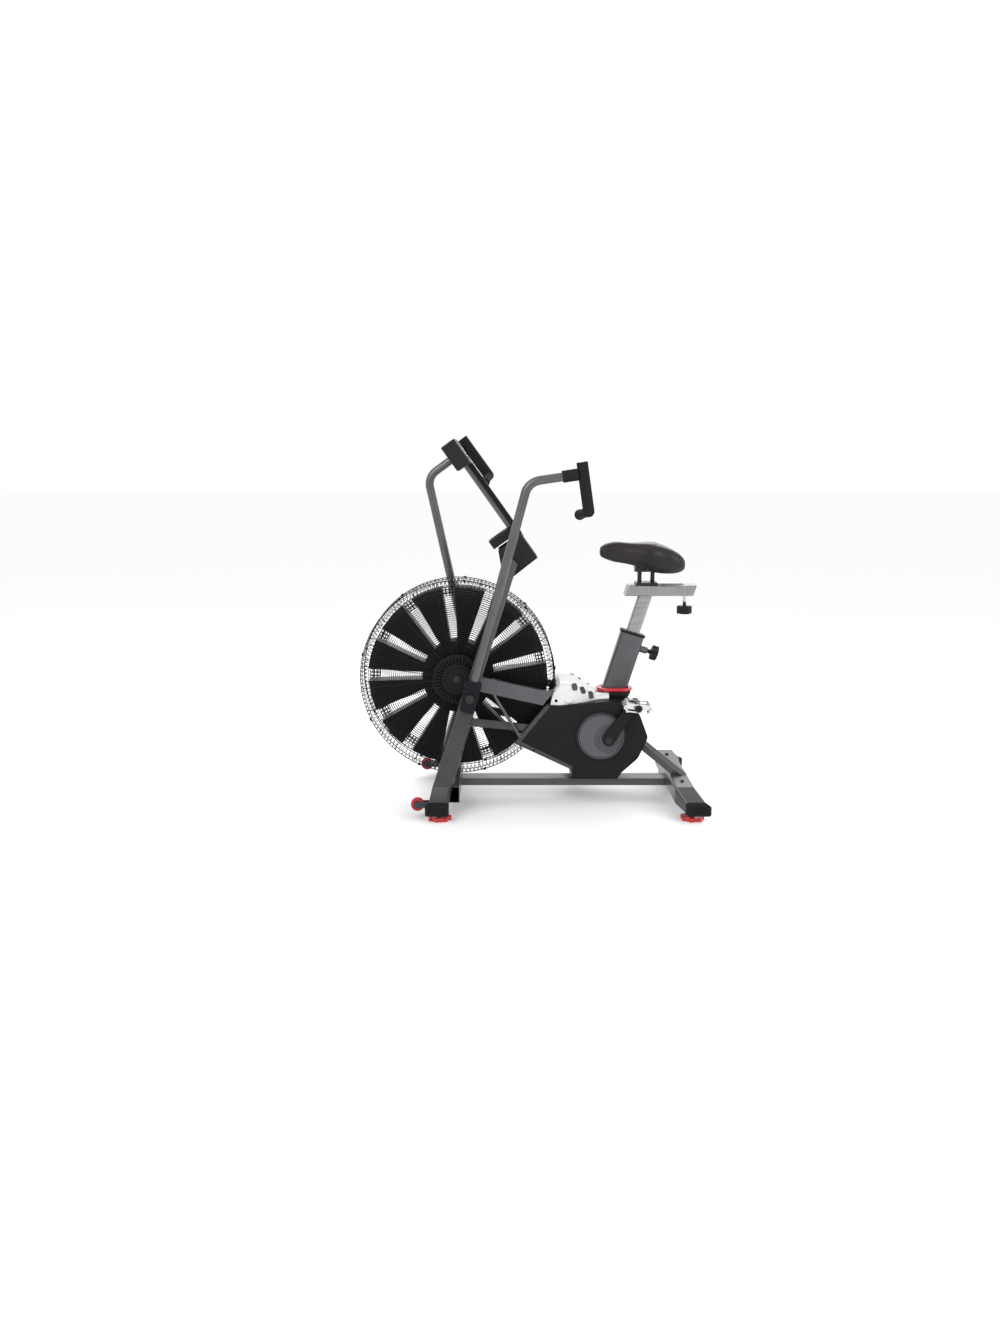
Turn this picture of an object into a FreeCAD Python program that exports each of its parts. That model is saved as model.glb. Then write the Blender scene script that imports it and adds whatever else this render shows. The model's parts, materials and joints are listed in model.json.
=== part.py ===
import FreeCAD, Part
import math
import os
import re
from FreeCAD import Placement, Rotation, Vector

# Air bike: a stationary bike whose pedals drive a caged fan and whose two arms swing back and
# forth. Millimetres. The rider faces -X, +Z is up, the rider's left hand is at -Y. The origin is
# on the floor under the middle of the bike.

doc = FreeCAD.newDocument("air_bike")
sheet = doc.addObject("Spreadsheet::Sheet", "sizes")

DRIVING_SIZES = [
    # whole machine
    ("bike_length", 1272, "front of the fan cage to the rear end caps"),
    ("foot_span", 678, "outer face of one end cap to the other"),
    ("shaft_gap", 0.06, "running clearance on the radius of a shaft"),
    ("slide_gap", 0.3, "clearance of sliding and clipped plastic pieces"),
    # feet and floor frame
    ("foot_tube_length", 71, "fore-and-aft size of the foot tubes"),
    ("foot_tube_height", 65, "height of the rear foot tube"),
    ("foot_tube_top", 112, "top of the foot tubes above the floor"),
    ("foot_fold", 270, "distance of the fold from the middle"),
    ("foot_end_drop", 43, "fall of the folded ends"),
    ("foot_end_sweep", 34, "rearward sweep of the rear foot's folded ends"),
    ("cap_sweep", 9, "rearward sweep of a rear end cap"),
    ("cap_width", 84, "end cap, at its outer face"),
    ("tube_wall", 2.5, "wall of the frame tubes"),
    ("cap_length", 14, "length of an end cap"),
    ("foot_pad_radius", 36, "levelling foot, to the lobe centres"),
    ("foot_pad_height", 15, "thickness of a levelling foot"),
    ("foot_pad_span", 294, "distance of the levelling feet from the middle"),
    ("rail_width", 75, "width of the floor rail"),
    ("rail_bottom", 52, "underside of the floor rail"),
    ("rail_top", 79, "top of the floor rail"),
    ("cross_length", 60, "fore-and-aft size of the front cross-member"),
    ("cross_bottom", 42, "underside of the front cross-member"),
    ("cross_top", 101, "top of the front cross-member"),
    ("wheel_radius", 24, "transport wheel"),
    ("wheel_width", 17, "transport wheel"),
    ("wheel_height", 52, "transport wheel axle above the floor"),
    ("wheel_reach", 85, "transport wheel axle in front of the front fold"),
    # fan and cage
    ("cage_radius", 364, "outer radius of the fan cage"),
    ("cage_half_depth", 80, "outer face of a grille from the middle"),
    ("wire", 4, "thickness of the cage wires"),
    ("fan_height", 474, "fan axle above the floor"),
    ("hub_cover_radius", 92, "round cover over the fan bearing"),
    ("blade_tip", 336, "radius of the blade tips"),
    ("fan_plate_radius", 132, "round plate that carries the blades"),
    ("blade_depth", 84, "depth of a blade across the wheel"),
    ("fan_axle_radius", 8, "fan axle"),
    ("small_pulley_radius", 20, "pulley on the fan"),
    # upper frame
    ("side_gap", 104, "inner face of the side frames from the middle"),
    ("side_width", 30, "width of the side frames"),
    ("pivot_back", 50, "arm pivot behind the fan axle"),
    ("pivot_height", 430, "arm pivot above the floor"),
    ("mast_lean", 17.3, "lean of the lower mast to the rear"),
    ("mast_leg_length", 44, "fore-and-aft size of a mast leg"),
    ("beam_height", 54, "height of a side beam"),
    ("beam_reach", 281, "side beam, measured along it"),
    ("beam_slope", 12.6, "fall of the side beams to the rear"),
    ("beam_end_lean", 31.9, "lean of the side beams' rear ends"),
    ("crossbar_radius", 18, "tubes across the bike"),
    ("crossbar_height", 900, "mast crossbar above the floor"),
    ("knee_height", 991, "bend of the mast above the floor"),
    ("post_tilt", 35.6, "lean of the upper mast to the front"),
    ("post_radius", 15, "upper mast tube"),
    # arms
    ("pivot_shaft_radius", 12, "shaft of an arm"),
    ("pivot_boss_radius", 27, "bearing boss of an arm shaft"),
    ("arm_span", 226, "arm tube from the middle"),
    ("arm_length", 793, "pivot to the bend of an arm"),
    ("arm_radius", 16, "arm tube"),
    ("arm_bend", 62, "bend radius of an arm"),
    ("arm_bend_angle", 66.5, "turn of the bend"),
    ("arm_top_length", 176, "bend to the end of the arm tube"),
    ("left_arm_lean", 15, "left arm, leaning to the rear at rest"),
    ("arm_swing", 27.5, "whole swing of an arm"),
    ("grip_radius", 20, "rubber grip"),
    ("grip_length", 172, "rubber grip"),
    ("lever_length", 116, "arm pivot to the link rod pin"),
    ("rod_span", 104, "inner face of the link rods from the middle"),
    ("rod_thickness", 10, "link rod"),
    # crank and pedals
    ("crank_forward", 285, "crank axle behind the origin"),
    ("crank_height", 255, "crank axle above the floor"),
    ("crank_length", 170, "crank axle to pedal spindle"),
    ("crank_angle", 56, "left crank above the horizontal at rest"),
    ("crank_radius", 12, "crank axle"),
    ("throw", 28, "eccentric disc off the crank axle"),
    ("throw_angle", 160, "direction of the left disc's offset"),
    ("disc_radius", 90, "eccentric disc"),
    ("big_pulley_radius", 100, "pulley on the crank"),
    ("belt_inner", 84, "inner face of the belt from the middle"),
    ("belt_width", 14, "belt"),
    ("belt_thickness", 3, "belt"),
    ("shell_radius", 26, "bottom bracket shell"),
    ("bearing_radius", 18, "outside of the crank bearings"),
    ("spindle_radius", 7, "pedal spindle"),
    ("pedal_length", 110, "pedal cage, heel to toe"),
    ("pedal_width", 92, "pedal cage, across"),
    ("pedal_height", 24, "pedal cage"),
    # covers
    ("cover_span", 122, "outer face of a side cover from the middle"),
    ("cover_wall", 3, "wall of the plastic covers"),
    # seat
    ("seat_foot", 209, "foot of the seat tube behind the origin"),
    ("seat_lean", 17.3, "lean of the seat tube to the rear"),
    ("seat_tube_length", 575, "seat tube, measured along it"),
    ("seat_tube_depth", 90, "seat tube, fore and aft"),
    ("seat_tube_width", 60, "seat tube, across"),
    ("post_depth", 50, "seat post, fore and aft"),
    ("post_width", 36, "seat post, across"),
    ("post_inside", 175, "seat post inside the tube at rest"),
    ("slider_bottom", 775, "underside of the saddle slider"),
    ("slider_height", 40, "saddle slider"),
    ("slider_length", 251, "saddle slider"),
    ("slider_width", 80, "saddle slider"),
    ("slider_wall", 4, "saddle slider"),
    ("slider_front", 348, "front of the saddle slider behind the origin"),
    ("slot_length", 180, "slot in the top of the slider"),
    ("slot_width", 14, "slot in the top of the slider"),
    ("saddle_length", 314, "saddle"),
    ("saddle_width", 240, "saddle"),
    ("knob_radius", 28, "clamping knobs"),
    # console
    ("console_depth", 57, "console, front to back"),
    ("console_width", 240, "console"),
    ("console_height", 102, "console, along the mast"),
    ("button_radius", 7, "console button"),
]

for row, (alias, number, meaning) in enumerate(DRIVING_SIZES, start=1):
    sheet.set(f"A{row}", alias)
    sheet.set(f"B{row}", str(number))
    sheet.set(f"C{row}", meaning)
    sheet.setAlias(f"B{row}", alias)
doc.recompute()
ALIASES = {alias for alias, number, meaning in DRIVING_SIZES}
LEFT, RIGHT = -1, 1
HANDS = ((LEFT, "left"), (RIGHT, "right"))
nodes = []


def size(alias):
    """The number that the sheet holds under an alias."""
    return float(sheet.get(alias))


def bind(thing, **properties):
    """Set properties from numbers, or bind them to the sheet by a formula of its aliases."""
    for name, value in properties.items():
        if isinstance(value, str):
            formula = re.sub(r"[a-z_]+", lambda w: "sizes." + w.group() if w.group() in ALIASES
                             else w.group(), value)
            thing.setExpression(name, formula)
        else:
            setattr(thing, name, value)


def node(thing, name):
    """Name an object as a finished sub-part."""
    thing.Label = name
    nodes.append(thing)
    return thing


def rod(radius, length, start, along=Vector(0, 0, 1)):
    """A round bar from a point along a direction."""
    bar = doc.addObject("Part::Cylinder", "rod")
    bind(bar, Radius=radius, Height=length)
    bar.Placement = Placement(start, Rotation(Vector(0, 0, 1), along))
    return bar


def rod_between(radius, start, end):
    return rod(radius, (end - start).Length, start, end - start)


def block(length, width, height, middle, turn=Rotation()):
    """A box about its middle; each size is a number or a formula of the sheet."""
    box = doc.addObject("Part::Box", "block")
    bind(box, Length=length, Width=width, Height=height)
    doc.recompute()
    corner = Vector(-box.Length.Value / 2, -box.Width.Value / 2, -box.Height.Value / 2)
    box.Placement = Placement(middle, turn) * Placement(corner, Rotation())
    return box


def fused(*things):
    joined = doc.addObject("Part::MultiFuse", "fused")
    joined.Shapes = list(things)
    joined.Refine = True
    return joined


def cut(base, *tools):
    remains = doc.addObject("Part::Cut", "cut")
    remains.Base = base
    remains.Tool = tools[0] if len(tools) == 1 else fused(*tools)
    remains.Refine = True
    return remains


def group(things):
    """Several like pieces in one sub-part."""
    bundle = doc.addObject("Part::Compound", "group")
    bundle.Links = list(things)
    return bundle


def rounded(base, radius, keep):
    """Round the edges of a finished solid that keep() accepts."""
    doc.recompute()
    edges = [(i + 1, radius, radius) for i, edge in enumerate(base.Shape.Edges) if keep(edge)]
    fillet = doc.addObject("Part::Fillet", "rounded")
    fillet.Base = base
    fillet.Edges = edges
    return fillet


def free_shape(shape):
    piece = doc.addObject("Part::Feature", "shape")
    piece.Shape = shape
    return piece


def lies_along(edge, direction):
    if not isinstance(edge.Curve, Part.Line):
        return False
    return abs(edge.tangentAt(edge.FirstParameter).dot(direction.normalize())) > 0.999


def section(middle, across, upward, width, height, corner):
    """A closed rectangle with round corners, as a wire, in the plane of two directions."""
    across = Vector(across).normalize()
    upward = Vector(upward).normalize()
    half_w, half_h = width / 2, height / 2
    lean = corner * (1 - math.sqrt(0.5))

    def at(a, b):
        return middle + across * a + upward * b

    edges = []
    for sx, sy in ((1, 1), (-1, 1), (-1, -1), (1, -1)):
        tip_a, tip_b = sx * half_w, sy * half_h
        ends = [at(tip_a, tip_b - sy * corner), at(tip_a - sx * corner, tip_b)]
        if sx * sy < 0:
            ends.reverse()
        middle_point = at(tip_a - sx * lean, tip_b - sy * lean)
        edges.append(Part.Arc(ends[0], middle_point, ends[1]).toShape())
    straight = [Part.makeLine(edges[i - 1].lastVertex().Point, edges[i].firstVertex().Point)
                for i in range(4)]
    ordered = [edge for pair in zip(straight, edges) for edge in pair]
    return Part.Wire(ordered)


def loft(sections, ruled=True):
    return Part.makeLoft(sections, True, ruled)


def tube_loft(places, wall, corner=10, ruled=True):
    """A bent rectangular tube: places are (middle, across, upward, width, height)."""
    outer = loft([section(m, a, u, w, t, corner) for m, a, u, w, t in places], ruled)
    inner = loft([section(m, a, u, w - 2 * wall, t - 2 * wall, corner - wall)
                  for m, a, u, w, t in places], ruled)
    return outer, outer.cut(inner)


def origin_plane(body, role):
    return next(part for part in body.Origin.OriginFeatures if part.Role == role)


def sketch(body, role, offset, geometry):
    """A sketch of the body on one of its own origin planes, moved along the plane's normal."""
    drawing = body.newObject("Sketcher::SketchObject", "outline")
    drawing.AttachmentSupport = [(origin_plane(body, role), "")]
    drawing.MapMode = "FlatFace"
    drawing.AttachmentOffset = Placement(Vector(0, 0, offset), Rotation())
    for item in geometry:
        drawing.addGeometry(item, False)
    return drawing


def circle(x, z, radius):
    return Part.Circle(Vector(x, z, 0), Vector(0, 0, 1), radius)


def polygon(points):
    """Straight outline through (x, z, corner radius) points, with its corners rounded."""
    count = len(points)
    joints = []
    for i, (x, z, radius) in enumerate(points):
        here = Vector(x, z, 0)
        before = Vector(*points[i - 1][:2], 0) - here
        after = Vector(*points[(i + 1) % count][:2], 0) - here
        if radius == 0:
            joints.append((here, None, here))
            continue
        half = before.getAngle(after) / 2
        reach = radius / math.tan(half)
        towards = (before.normalize() + after.normalize()).normalize()
        top = here + towards * (radius / math.sin(half) - radius)
        joints.append((here + before * reach, top, here + after * reach))
    geometry = []
    for i, (start, top, end) in enumerate(joints):
        if top is not None:
            geometry.append(Part.Arc(start, top, end))
        geometry.append(Part.LineSegment(end, joints[(i + 1) % count][0]))
    return geometry


def tapered(x1, z1, r1, x2, z2, r2):
    """Outline of a link: two round ends joined by their common tangents."""
    first, last = Vector(x1, z1, 0), Vector(x2, z2, 0)
    along = last - first
    base = math.atan2(along.y, along.x)
    lean = math.acos((r1 - r2) / along.Length)

    def on(middle, radius, angle):
        return middle + Vector(math.cos(angle), math.sin(angle), 0) * radius

    a1, b1 = on(first, r1, base + lean), on(first, r1, base - lean)
    a2, b2 = on(last, r2, base + lean), on(last, r2, base - lean)
    return [Part.Arc(a1, on(first, r1, base + math.pi), b1), Part.LineSegment(b1, b2),
            Part.Arc(b2, on(last, r2, base), a2), Part.LineSegment(a2, a1)]


def side_plate(hand, inner, thickness, geometry):
    """A flat piece parallel to the XZ plane; inner and thickness are formulas or numbers,
    measured from the middle of the bike outwards."""
    body = doc.addObject("PartDesign::Body", "plate")
    drawing = sketch(body, "XZ_Plane", 0, geometry)
    pad = body.newObject("PartDesign::Pad", "pad")
    pad.Profile = drawing
    bind(pad, Length=thickness)
    outwards = f"({inner})" if hand == LEFT else f"-({inner}) - ({thickness})"
    bind(drawing, **{".AttachmentOffset.Base.z": outwards})
    doc.recompute()
    return body


X, Y, Z = Vector(1, 0, 0), Vector(0, 1, 0), Vector(0, 0, 1)
front_end = -size("bike_length") / 2
rear_end = size("bike_length") / 2
half_span = size("foot_span") / 2
fan_x = front_end + size("cage_radius")
fan_z = size("fan_height")
pivot_x = fan_x + size("pivot_back")
pivot_z = size("pivot_height")
crank_x = size("crank_forward")
crank_z = size("crank_height")
side_inner = size("side_gap")
side_outer = side_inner + size("side_width")
right_arm_lean = size("left_arm_lean") - size("arm_swing")


# ---------------------------------------------------------------- feet and floor frame

fold = size("foot_fold")
foot_top = size("foot_tube_top")
foot_height = size("foot_tube_height")
foot_length = size("foot_tube_length")
wall = size("tube_wall")
cap_inner = half_span - size("cap_length")
folded_height = 44
rear_x = rear_end - size("foot_end_sweep") - size("cap_sweep") - size("cap_width") / 2
front_fold_x = front_end + 310
front_foot_x = front_fold_x - 10
pad_span = size("foot_pad_span")
rear_pad_x = rear_x + 24
front_pad_x = front_fold_x - 6
pad_stem_radius = 8
pad_stem_top = 52
end_z = foot_top - size("foot_end_drop") - folded_height / 2


def pad_holes():
    """Holes under the ends of the four feet, for the levelling feet's stems."""
    radius = pad_stem_radius + size("shaft_gap")
    return [Part.makeCylinder(radius, pad_stem_top + 2, Vector(x, y, 0))
            for x in (rear_pad_x, front_pad_x) for y in (-pad_span, pad_span)]


def rear_foot():
    """The rear foot: a straight tube with both ends folded down and swept back."""
    end_x = rear_x + size("foot_end_sweep")
    main_z = foot_top - foot_height / 2
    places = [(Vector(end_x, -cap_inner, end_z), X, Z, foot_length + 3, folded_height),
              (Vector(rear_x, -fold, main_z), X, Z, foot_length, foot_height),
              (Vector(rear_x, fold, main_z), X, Z, foot_length, foot_height),
              (Vector(end_x, cap_inner, end_z), X, Z, foot_length + 3, folded_height)]
    outer, tube = tube_loft(places, wall)
    bolt_holes = [Part.makeCylinder(6, 20, Vector(rear_x, y, foot_top - 10)) for y in (-196, 196)]
    return free_shape(tube.cut(pad_holes() + bolt_holes))


node(rear_foot(), "rear_stabiliser")

leg_top_span = side_outer + 44
leg_width = 40
leg_top_x = pivot_x
inner_fold = Vector(front_fold_x, fold - 34, foot_top - 38)
outer_fold = Vector(front_fold_x, fold, foot_top)


def leg_places(hand):
    middle = (inner_fold + outer_fold) / 2
    upward = outer_fold - inner_fold
    return [(Vector(front_foot_x, hand * cap_inner, end_z), X, Z, foot_length, folded_height),
            (Vector(middle.x, hand * middle.y, middle.z), X, Vector(0, hand * upward.y, upward.z),
             foot_length - 3, upward.Length),
            (Vector(leg_top_x, hand * leg_top_span, pivot_z), X, Y * hand, foot_length - 7,
             leg_width)]


wheel_x = front_fold_x - size("wheel_reach")
wheel_z = size("wheel_height")
wheel_span = fold + 10
boss_radius = size("pivot_boss_radius")
shaft_bore = size("pivot_shaft_radius") + size("shaft_gap")
bridge_height = 20


def front_leg(hand):
    """A front leg: folded foot, leaning upright, the boss of the arm's shaft with its bridge
    to the mast, and the fork of the transport wheel."""
    outer, tube = tube_loft(leg_places(hand), wall)
    boss_inner = leg_top_span - leg_width / 2
    boss = Part.makeCylinder(boss_radius, leg_width, Vector(pivot_x, hand * boss_inner, pivot_z),
                             Y * hand)
    bridge_z = pivot_z + boss_radius
    bridge_reach = boss_inner + leg_width - side_outer
    bridge = Part.makeBox(46, bridge_reach, bridge_height)
    bridge.translate(Vector(pivot_x - 20, min(hand * side_outer, hand * (side_outer + bridge_reach)),
                            bridge_z))
    upright = Part.makeBox(46, leg_width, boss_radius + 2)
    upright.translate(Vector(pivot_x - 20, min(hand * boss_inner, hand * (boss_inner + leg_width)),
                             pivot_z))
    plates = []
    half_gap = size("wheel_width") / 2 + 1
    for side in (-1, 1):
        middle_y = hand * wheel_span + side * (half_gap + 2)
        plate = Part.makeBox(front_foot_x - foot_length / 2 + 6 - (wheel_x - 11), 4, 22)
        plate.translate(Vector(wheel_x - 11, middle_y - 2, wheel_z - 11))
        plates.append(plate)
    pin = Part.makeCylinder(6, 2 * half_gap + 14, Vector(wheel_x, hand * wheel_span - half_gap - 7,
                                                         wheel_z), Y)
    top_cut = Part.makeCylinder(boss_radius, 300, Vector(pivot_x, -150, pivot_z), Y)
    top_cut.translate(Vector(0, hand * leg_top_span, 0))
    hollow = outer.cut(tube)
    solid = tube.cut(top_cut).fuse([boss, bridge, upright] + [p.cut(hollow) for p in plates] + [pin])
    bore = Part.makeCylinder(shaft_bore, 400, Vector(pivot_x, 0, pivot_z), Y * hand)
    return free_shape(solid.cut(bore).cut(pad_holes()).removeSplitter())


node(group(front_leg(hand) for hand in (LEFT, RIGHT)), "front_legs")


def end_caps():
    """The four ribbed plugs over the open ends of the feet."""
    caps = []
    for x, lean in ((rear_x + size("foot_end_sweep"), size("cap_sweep")), (front_foot_x, -4)):
        for hand in (LEFT, RIGHT):
            inner = section(Vector(x, hand * cap_inner, end_z), X, Z, foot_length + 7,
                            folded_height + 4, 11)
            outer = section(Vector(x + lean, hand * half_span, end_z - 4), X, Z, size("cap_width"),
                            folded_height - 4, 9)
            cap = loft([inner, outer])
            for rib in (-1, 0, 1):
                groove = Part.makeBox(size("cap_width") - 24, 4, 3)
                groove.translate(Vector(x + lean - size("cap_width") / 2 + 12, hand * half_span - 2,
                                        end_z - 5.5 + 9 * rib))
                cap = cap.cut(groove)
            caps.append(cap)
    return free_shape(Part.makeCompound(caps))


node(end_caps(), "end_caps")

leg_lean = (inner_fold.y - (leg_top_span - leg_width / 2)) / (pivot_z - inner_fold.z)
cross_x = fan_x - 21
cross_half = inner_fold.y - leg_lean * (size("cross_top") - inner_fold.z)
cross_middle = Vector(cross_x, 0, (size("cross_bottom") + size("cross_top")) / 2)
crossmember = block("cross_length", 2 * cross_half, "cross_top - cross_bottom", cross_middle)
cross_hollow = block("cross_length - 2 * tube_wall", 2 * cross_half,
                     "cross_top - cross_bottom - 2 * tube_wall", cross_middle)
node(cut(crossmember, cross_hollow), "front_crossmember")

rail_front = cross_x + size("cross_length") / 2
rail_back = rear_x - foot_length / 2
rail_middle = Vector((rail_front + rail_back) / 2, 0, (size("rail_bottom") + size("rail_top")) / 2)
rail = block(rail_back - rail_front, "rail_width", "rail_top - rail_bottom", rail_middle)
rail_hollow = block(rail_back - rail_front, "rail_width - 2 * tube_wall",
                    "rail_top - rail_bottom - 2 * tube_wall", rail_middle)
grooves = [block(rail_back - rail_front, 1.5, 2.5,
                 Vector(rail_middle.x, hand * size("rail_width") / 2, size("rail_top") - 9))
           for hand in (LEFT, RIGHT)]
node(cut(rail, rail_hollow, *grooves), "base_rail")


def levelling_foot(x, y):
    """A screw foot: a lobed disc with a threaded stem."""
    height = size("foot_pad_height")
    pieces = [rod("foot_pad_radius", "foot_pad_height", Vector(x, y, 0)),
              rod(pad_stem_radius, pad_stem_top, Vector(x, y, 0)),
              rod(15, 4, Vector(x, y, height))]
    for lobe in range(7):
        turn = 2 * math.pi * lobe / 7
        out = size("foot_pad_radius") - 2
        pieces.append(rod(9, height - 2, Vector(x + out * math.cos(turn), y + out * math.sin(turn), 0)))
    return fused(*pieces)


for end, x in (("rear", rear_pad_x), ("front", front_pad_x)):
    for hand, side in HANDS:
        node(levelling_foot(x, hand * pad_span), f"{end}_{side}_levelling_foot")

for hand, side in HANDS:
    start = Vector(wheel_x, hand * wheel_span - size("wheel_width") / 2, wheel_z)
    tyre = rod("wheel_radius", "wheel_width", start, Y)
    bore = rod("6 + shaft_gap", "wheel_width", start, Y)
    wheel = rounded(cut(tyre, bore), 3, lambda e: e.Length > 2 * math.pi * size("wheel_radius") - 1
                    and isinstance(e.Curve, Part.Circle))
    node(wheel, f"{side}_transport_wheel")


# ---------------------------------------------------------------- fan and its cage

fan_middle = Vector(fan_x, 0, fan_z)
cage_side = size("cage_half_depth")
cage_radius = size("cage_radius")
spokes = 26
rings = 13
grille_inner = size("hub_cover_radius") - 6
grille_outer = cage_radius - 6


def grille(hand):
    """A flat grille: round wires joined by spokes, cut as windows out of a disc."""
    inner, outer = grille_inner, grille_outer
    pitch = (outer - inner - size("wire")) / rings
    half_wire = size("wire") / 2
    wires = []
    for ring in range(rings + 1):
        radius = inner + half_wire + ring * pitch
        wires.append(circle(fan_x, fan_z, radius + half_wire))
        wires.append(circle(fan_x, fan_z, radius - half_wire))
    return side_plate(hand, "cage_half_depth - wire", "wire", wires)


def spoke_bars(hand):
    """The spokes behind the round wires."""
    bars = []
    start = grille_inner
    for spoke in range(spokes // 2):
        turn = math.degrees(2 * math.pi * spoke / (spokes // 2)) + 6
        direction = Rotation(Y, turn).multVec(Z)
        middle = fan_middle + direction * ((start + grille_outer) / 2)
        middle.y = hand * (cage_side - size("wire") / 2)
        bars.append(block("wire - 1", "wire", grille_outer - start - 1, middle, Rotation(Y, turn)))
    return bars


hoop_width = 8


def hoop(hand):
    """The flat hoop round the edge of a grille."""
    edges = [circle(fan_x, fan_z, cage_radius), circle(fan_x, fan_z, grille_outer)]
    return side_plate(hand, cage_side - hoop_width, hoop_width, edges)


node(group(fused(grille(hand), hoop(hand), *spoke_bars(hand)) for hand in (LEFT, RIGHT)),
     "cage_grilles")

rim_bars = 36
rim_bar_circle = (cage_radius + grille_outer) / 2
rim_reach = cage_side - hoop_width
bars = []
for bar in range(rim_bars):
    turn = 2 * math.pi * bar / rim_bars
    foot = fan_middle + Vector(math.cos(turn), 0, math.sin(turn)) * rim_bar_circle
    bars.append(rod("wire / 2", 2 * rim_reach, foot - Y * rim_reach, Y))
node(group(bars), "cage_rim")

hub_cover_wall = 4


def hub_cover(hand):
    """The round dished cover at the fan's hub, with a ring of slots; it carries the axle."""
    start = Vector(fan_x, hand * cage_side, fan_z)
    depth = side_inner - cage_side
    out = Y * hand
    radius = size("hub_cover_radius")
    dish = Part.makeCylinder(radius, depth, start, out)
    dish = dish.cut(Part.makeCylinder(radius - hub_cover_wall, depth - hub_cover_wall, start, out))
    slots = []
    for slot in range(36):
        turn = 2 * math.pi * slot / 36
        bar = Part.makeBox(24, 40, 5)
        bar.translate(Vector(radius - 36, -20, -2.5))
        bar.rotate(Vector(), Y, math.degrees(turn))
        bar.translate(start + out * depth)
        slots.append(bar)
    if hand == RIGHT:
        rear_side = Part.makeBox(2 * radius, depth - hub_cover_wall, 2 * radius)
        rear_side.translate(Vector(fan_x - 10, cage_side, fan_z - radius))
        slots.append(rear_side)
    slots.append(Part.makeCylinder(size("fan_axle_radius"), 3 * depth, start - out * depth, out))
    return free_shape(dish.cut(slots))


node(group(hub_cover(hand) for hand in (LEFT, RIGHT)), "hub_covers")

axle_half = side_inner + 8
axle = rod("fan_axle_radius", 2 * axle_half, Vector(fan_x, -axle_half, fan_z), Y)
axle_nuts = [rod(14, 6, Vector(fan_x, hand * side_inner, fan_z), Y * hand) for hand in (LEFT, RIGHT)]
node(fused(axle, *axle_nuts), "fan_axle")

blades = 13


def fan_wheel():
    """Round plate with broad flanged blades, and a strip across each gap behind their tips."""
    plate_radius = size("fan_plate_radius")
    plate = Part.makeCylinder(plate_radius, 3, Vector(0, -1.5, 0), Y)
    plate = plate.cut(Part.makeCylinder(28, 20, Vector(0, -10, 0), Y))
    plate_room = Part.makeCylinder(plate_radius, 200, Vector(0, -100, 0), Y)
    tip, root = size("blade_tip"), size("fan_plate_radius") - 20
    depth = size("blade_depth")
    vanes, flanges = [], []
    for blade in range(blades):
        turn = 360 / blades * blade
        tip_half = tip * math.tan(math.radians(360 / blades * 0.28))
        root_half = root * math.tan(math.radians(360 / blades * 0.28))
        face = Part.makePolygon([Vector(root, 0, -root_half), Vector(tip, 0, -tip_half),
                                 Vector(tip, 0, tip_half), Vector(root, 0, root_half),
                                 Vector(root, 0, -root_half)])
        vane = Part.Face(face).extrude(Vector(0, 2, 0))
        vane.translate(Vector(0, -1, 0))
        flange = Part.makeBox(tip - root - 24, depth / 2, 2)
        flange.translate(Vector(root + 22, -depth / 4, 0))
        edge_lean = math.degrees(math.atan2(tip_half - root_half, tip - root))
        flange.rotate(Vector(root, 0, 0), Y, -edge_lean)
        flange.translate(Vector(0, 0, root_half - 2))
        for piece in (vane, flange):
            piece.rotate(Vector(), Y, turn + 4)
        vanes.append(vane.fuse(flange).cut(plate_room).removeSplitter())
        flanges.append(flange)
    ring = Part.makeCylinder(tip - 4, 2, Vector(0, 6, 0), Y)
    strips = ring.cut([Part.makeCylinder(tip - 34, 2, Vector(0, 6, 0), Y)] + flanges)
    wheel = Part.makeCompound([plate] + vanes + strips.Solids)
    wheel.translate(fan_middle)
    return free_shape(wheel)


node(fan_wheel(), "fan_wheel")

belt_inner = size("belt_inner")
hub_start = Vector(fan_x, -cage_side + 8, fan_z)
hub = fused(rod(28, 2 * cage_side - 16, hub_start, Y),
            rod("small_pulley_radius", belt_inner + size("belt_width") + cage_side - 8, hub_start, Y))
node(cut(hub, rod("fan_axle_radius + shaft_gap", 4 * cage_side, Vector(fan_x, -2 * cage_side, fan_z), Y)),
     "fan_hub")


def drive_belt():
    """The belt round both pulleys: two arcs joined by their outer tangents."""
    gap = size("slide_gap") / 2
    small = size("small_pulley_radius") + gap
    big = size("big_pulley_radius") + gap
    loops = []
    for extra in (size("belt_thickness"), 0):
        outline = tapered(fan_x, fan_z, small + extra, crank_x, crank_z, big + extra)
        wire = Part.Wire([g.toShape() for g in outline])
        wire.rotate(Vector(), X, 90)
        loops.append(Part.Face(wire).extrude(Vector(0, size("belt_width"), 0)))
    belt = loops[0].cut(loops[1])
    belt.translate(Vector(0, belt_inner, 0))
    return free_shape(belt)


def belt_space():
    """The room that the covers leave for the belt and everything inside its loop."""
    clear = size("belt_thickness") + 2
    outline = tapered(fan_x, fan_z, size("small_pulley_radius") + clear,
                      crank_x, crank_z, size("big_pulley_radius") + clear)
    wire = Part.Wire([g.toShape() for g in outline])
    wire.rotate(Vector(), X, 90)
    room = Part.Face(wire).extrude(Vector(0, size("belt_width") + 3, 0))
    room.translate(Vector(0, belt_inner - 2, 0))
    return room


node(drive_belt(), "drive_belt")


# ---------------------------------------------------------------- upper frame

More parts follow.
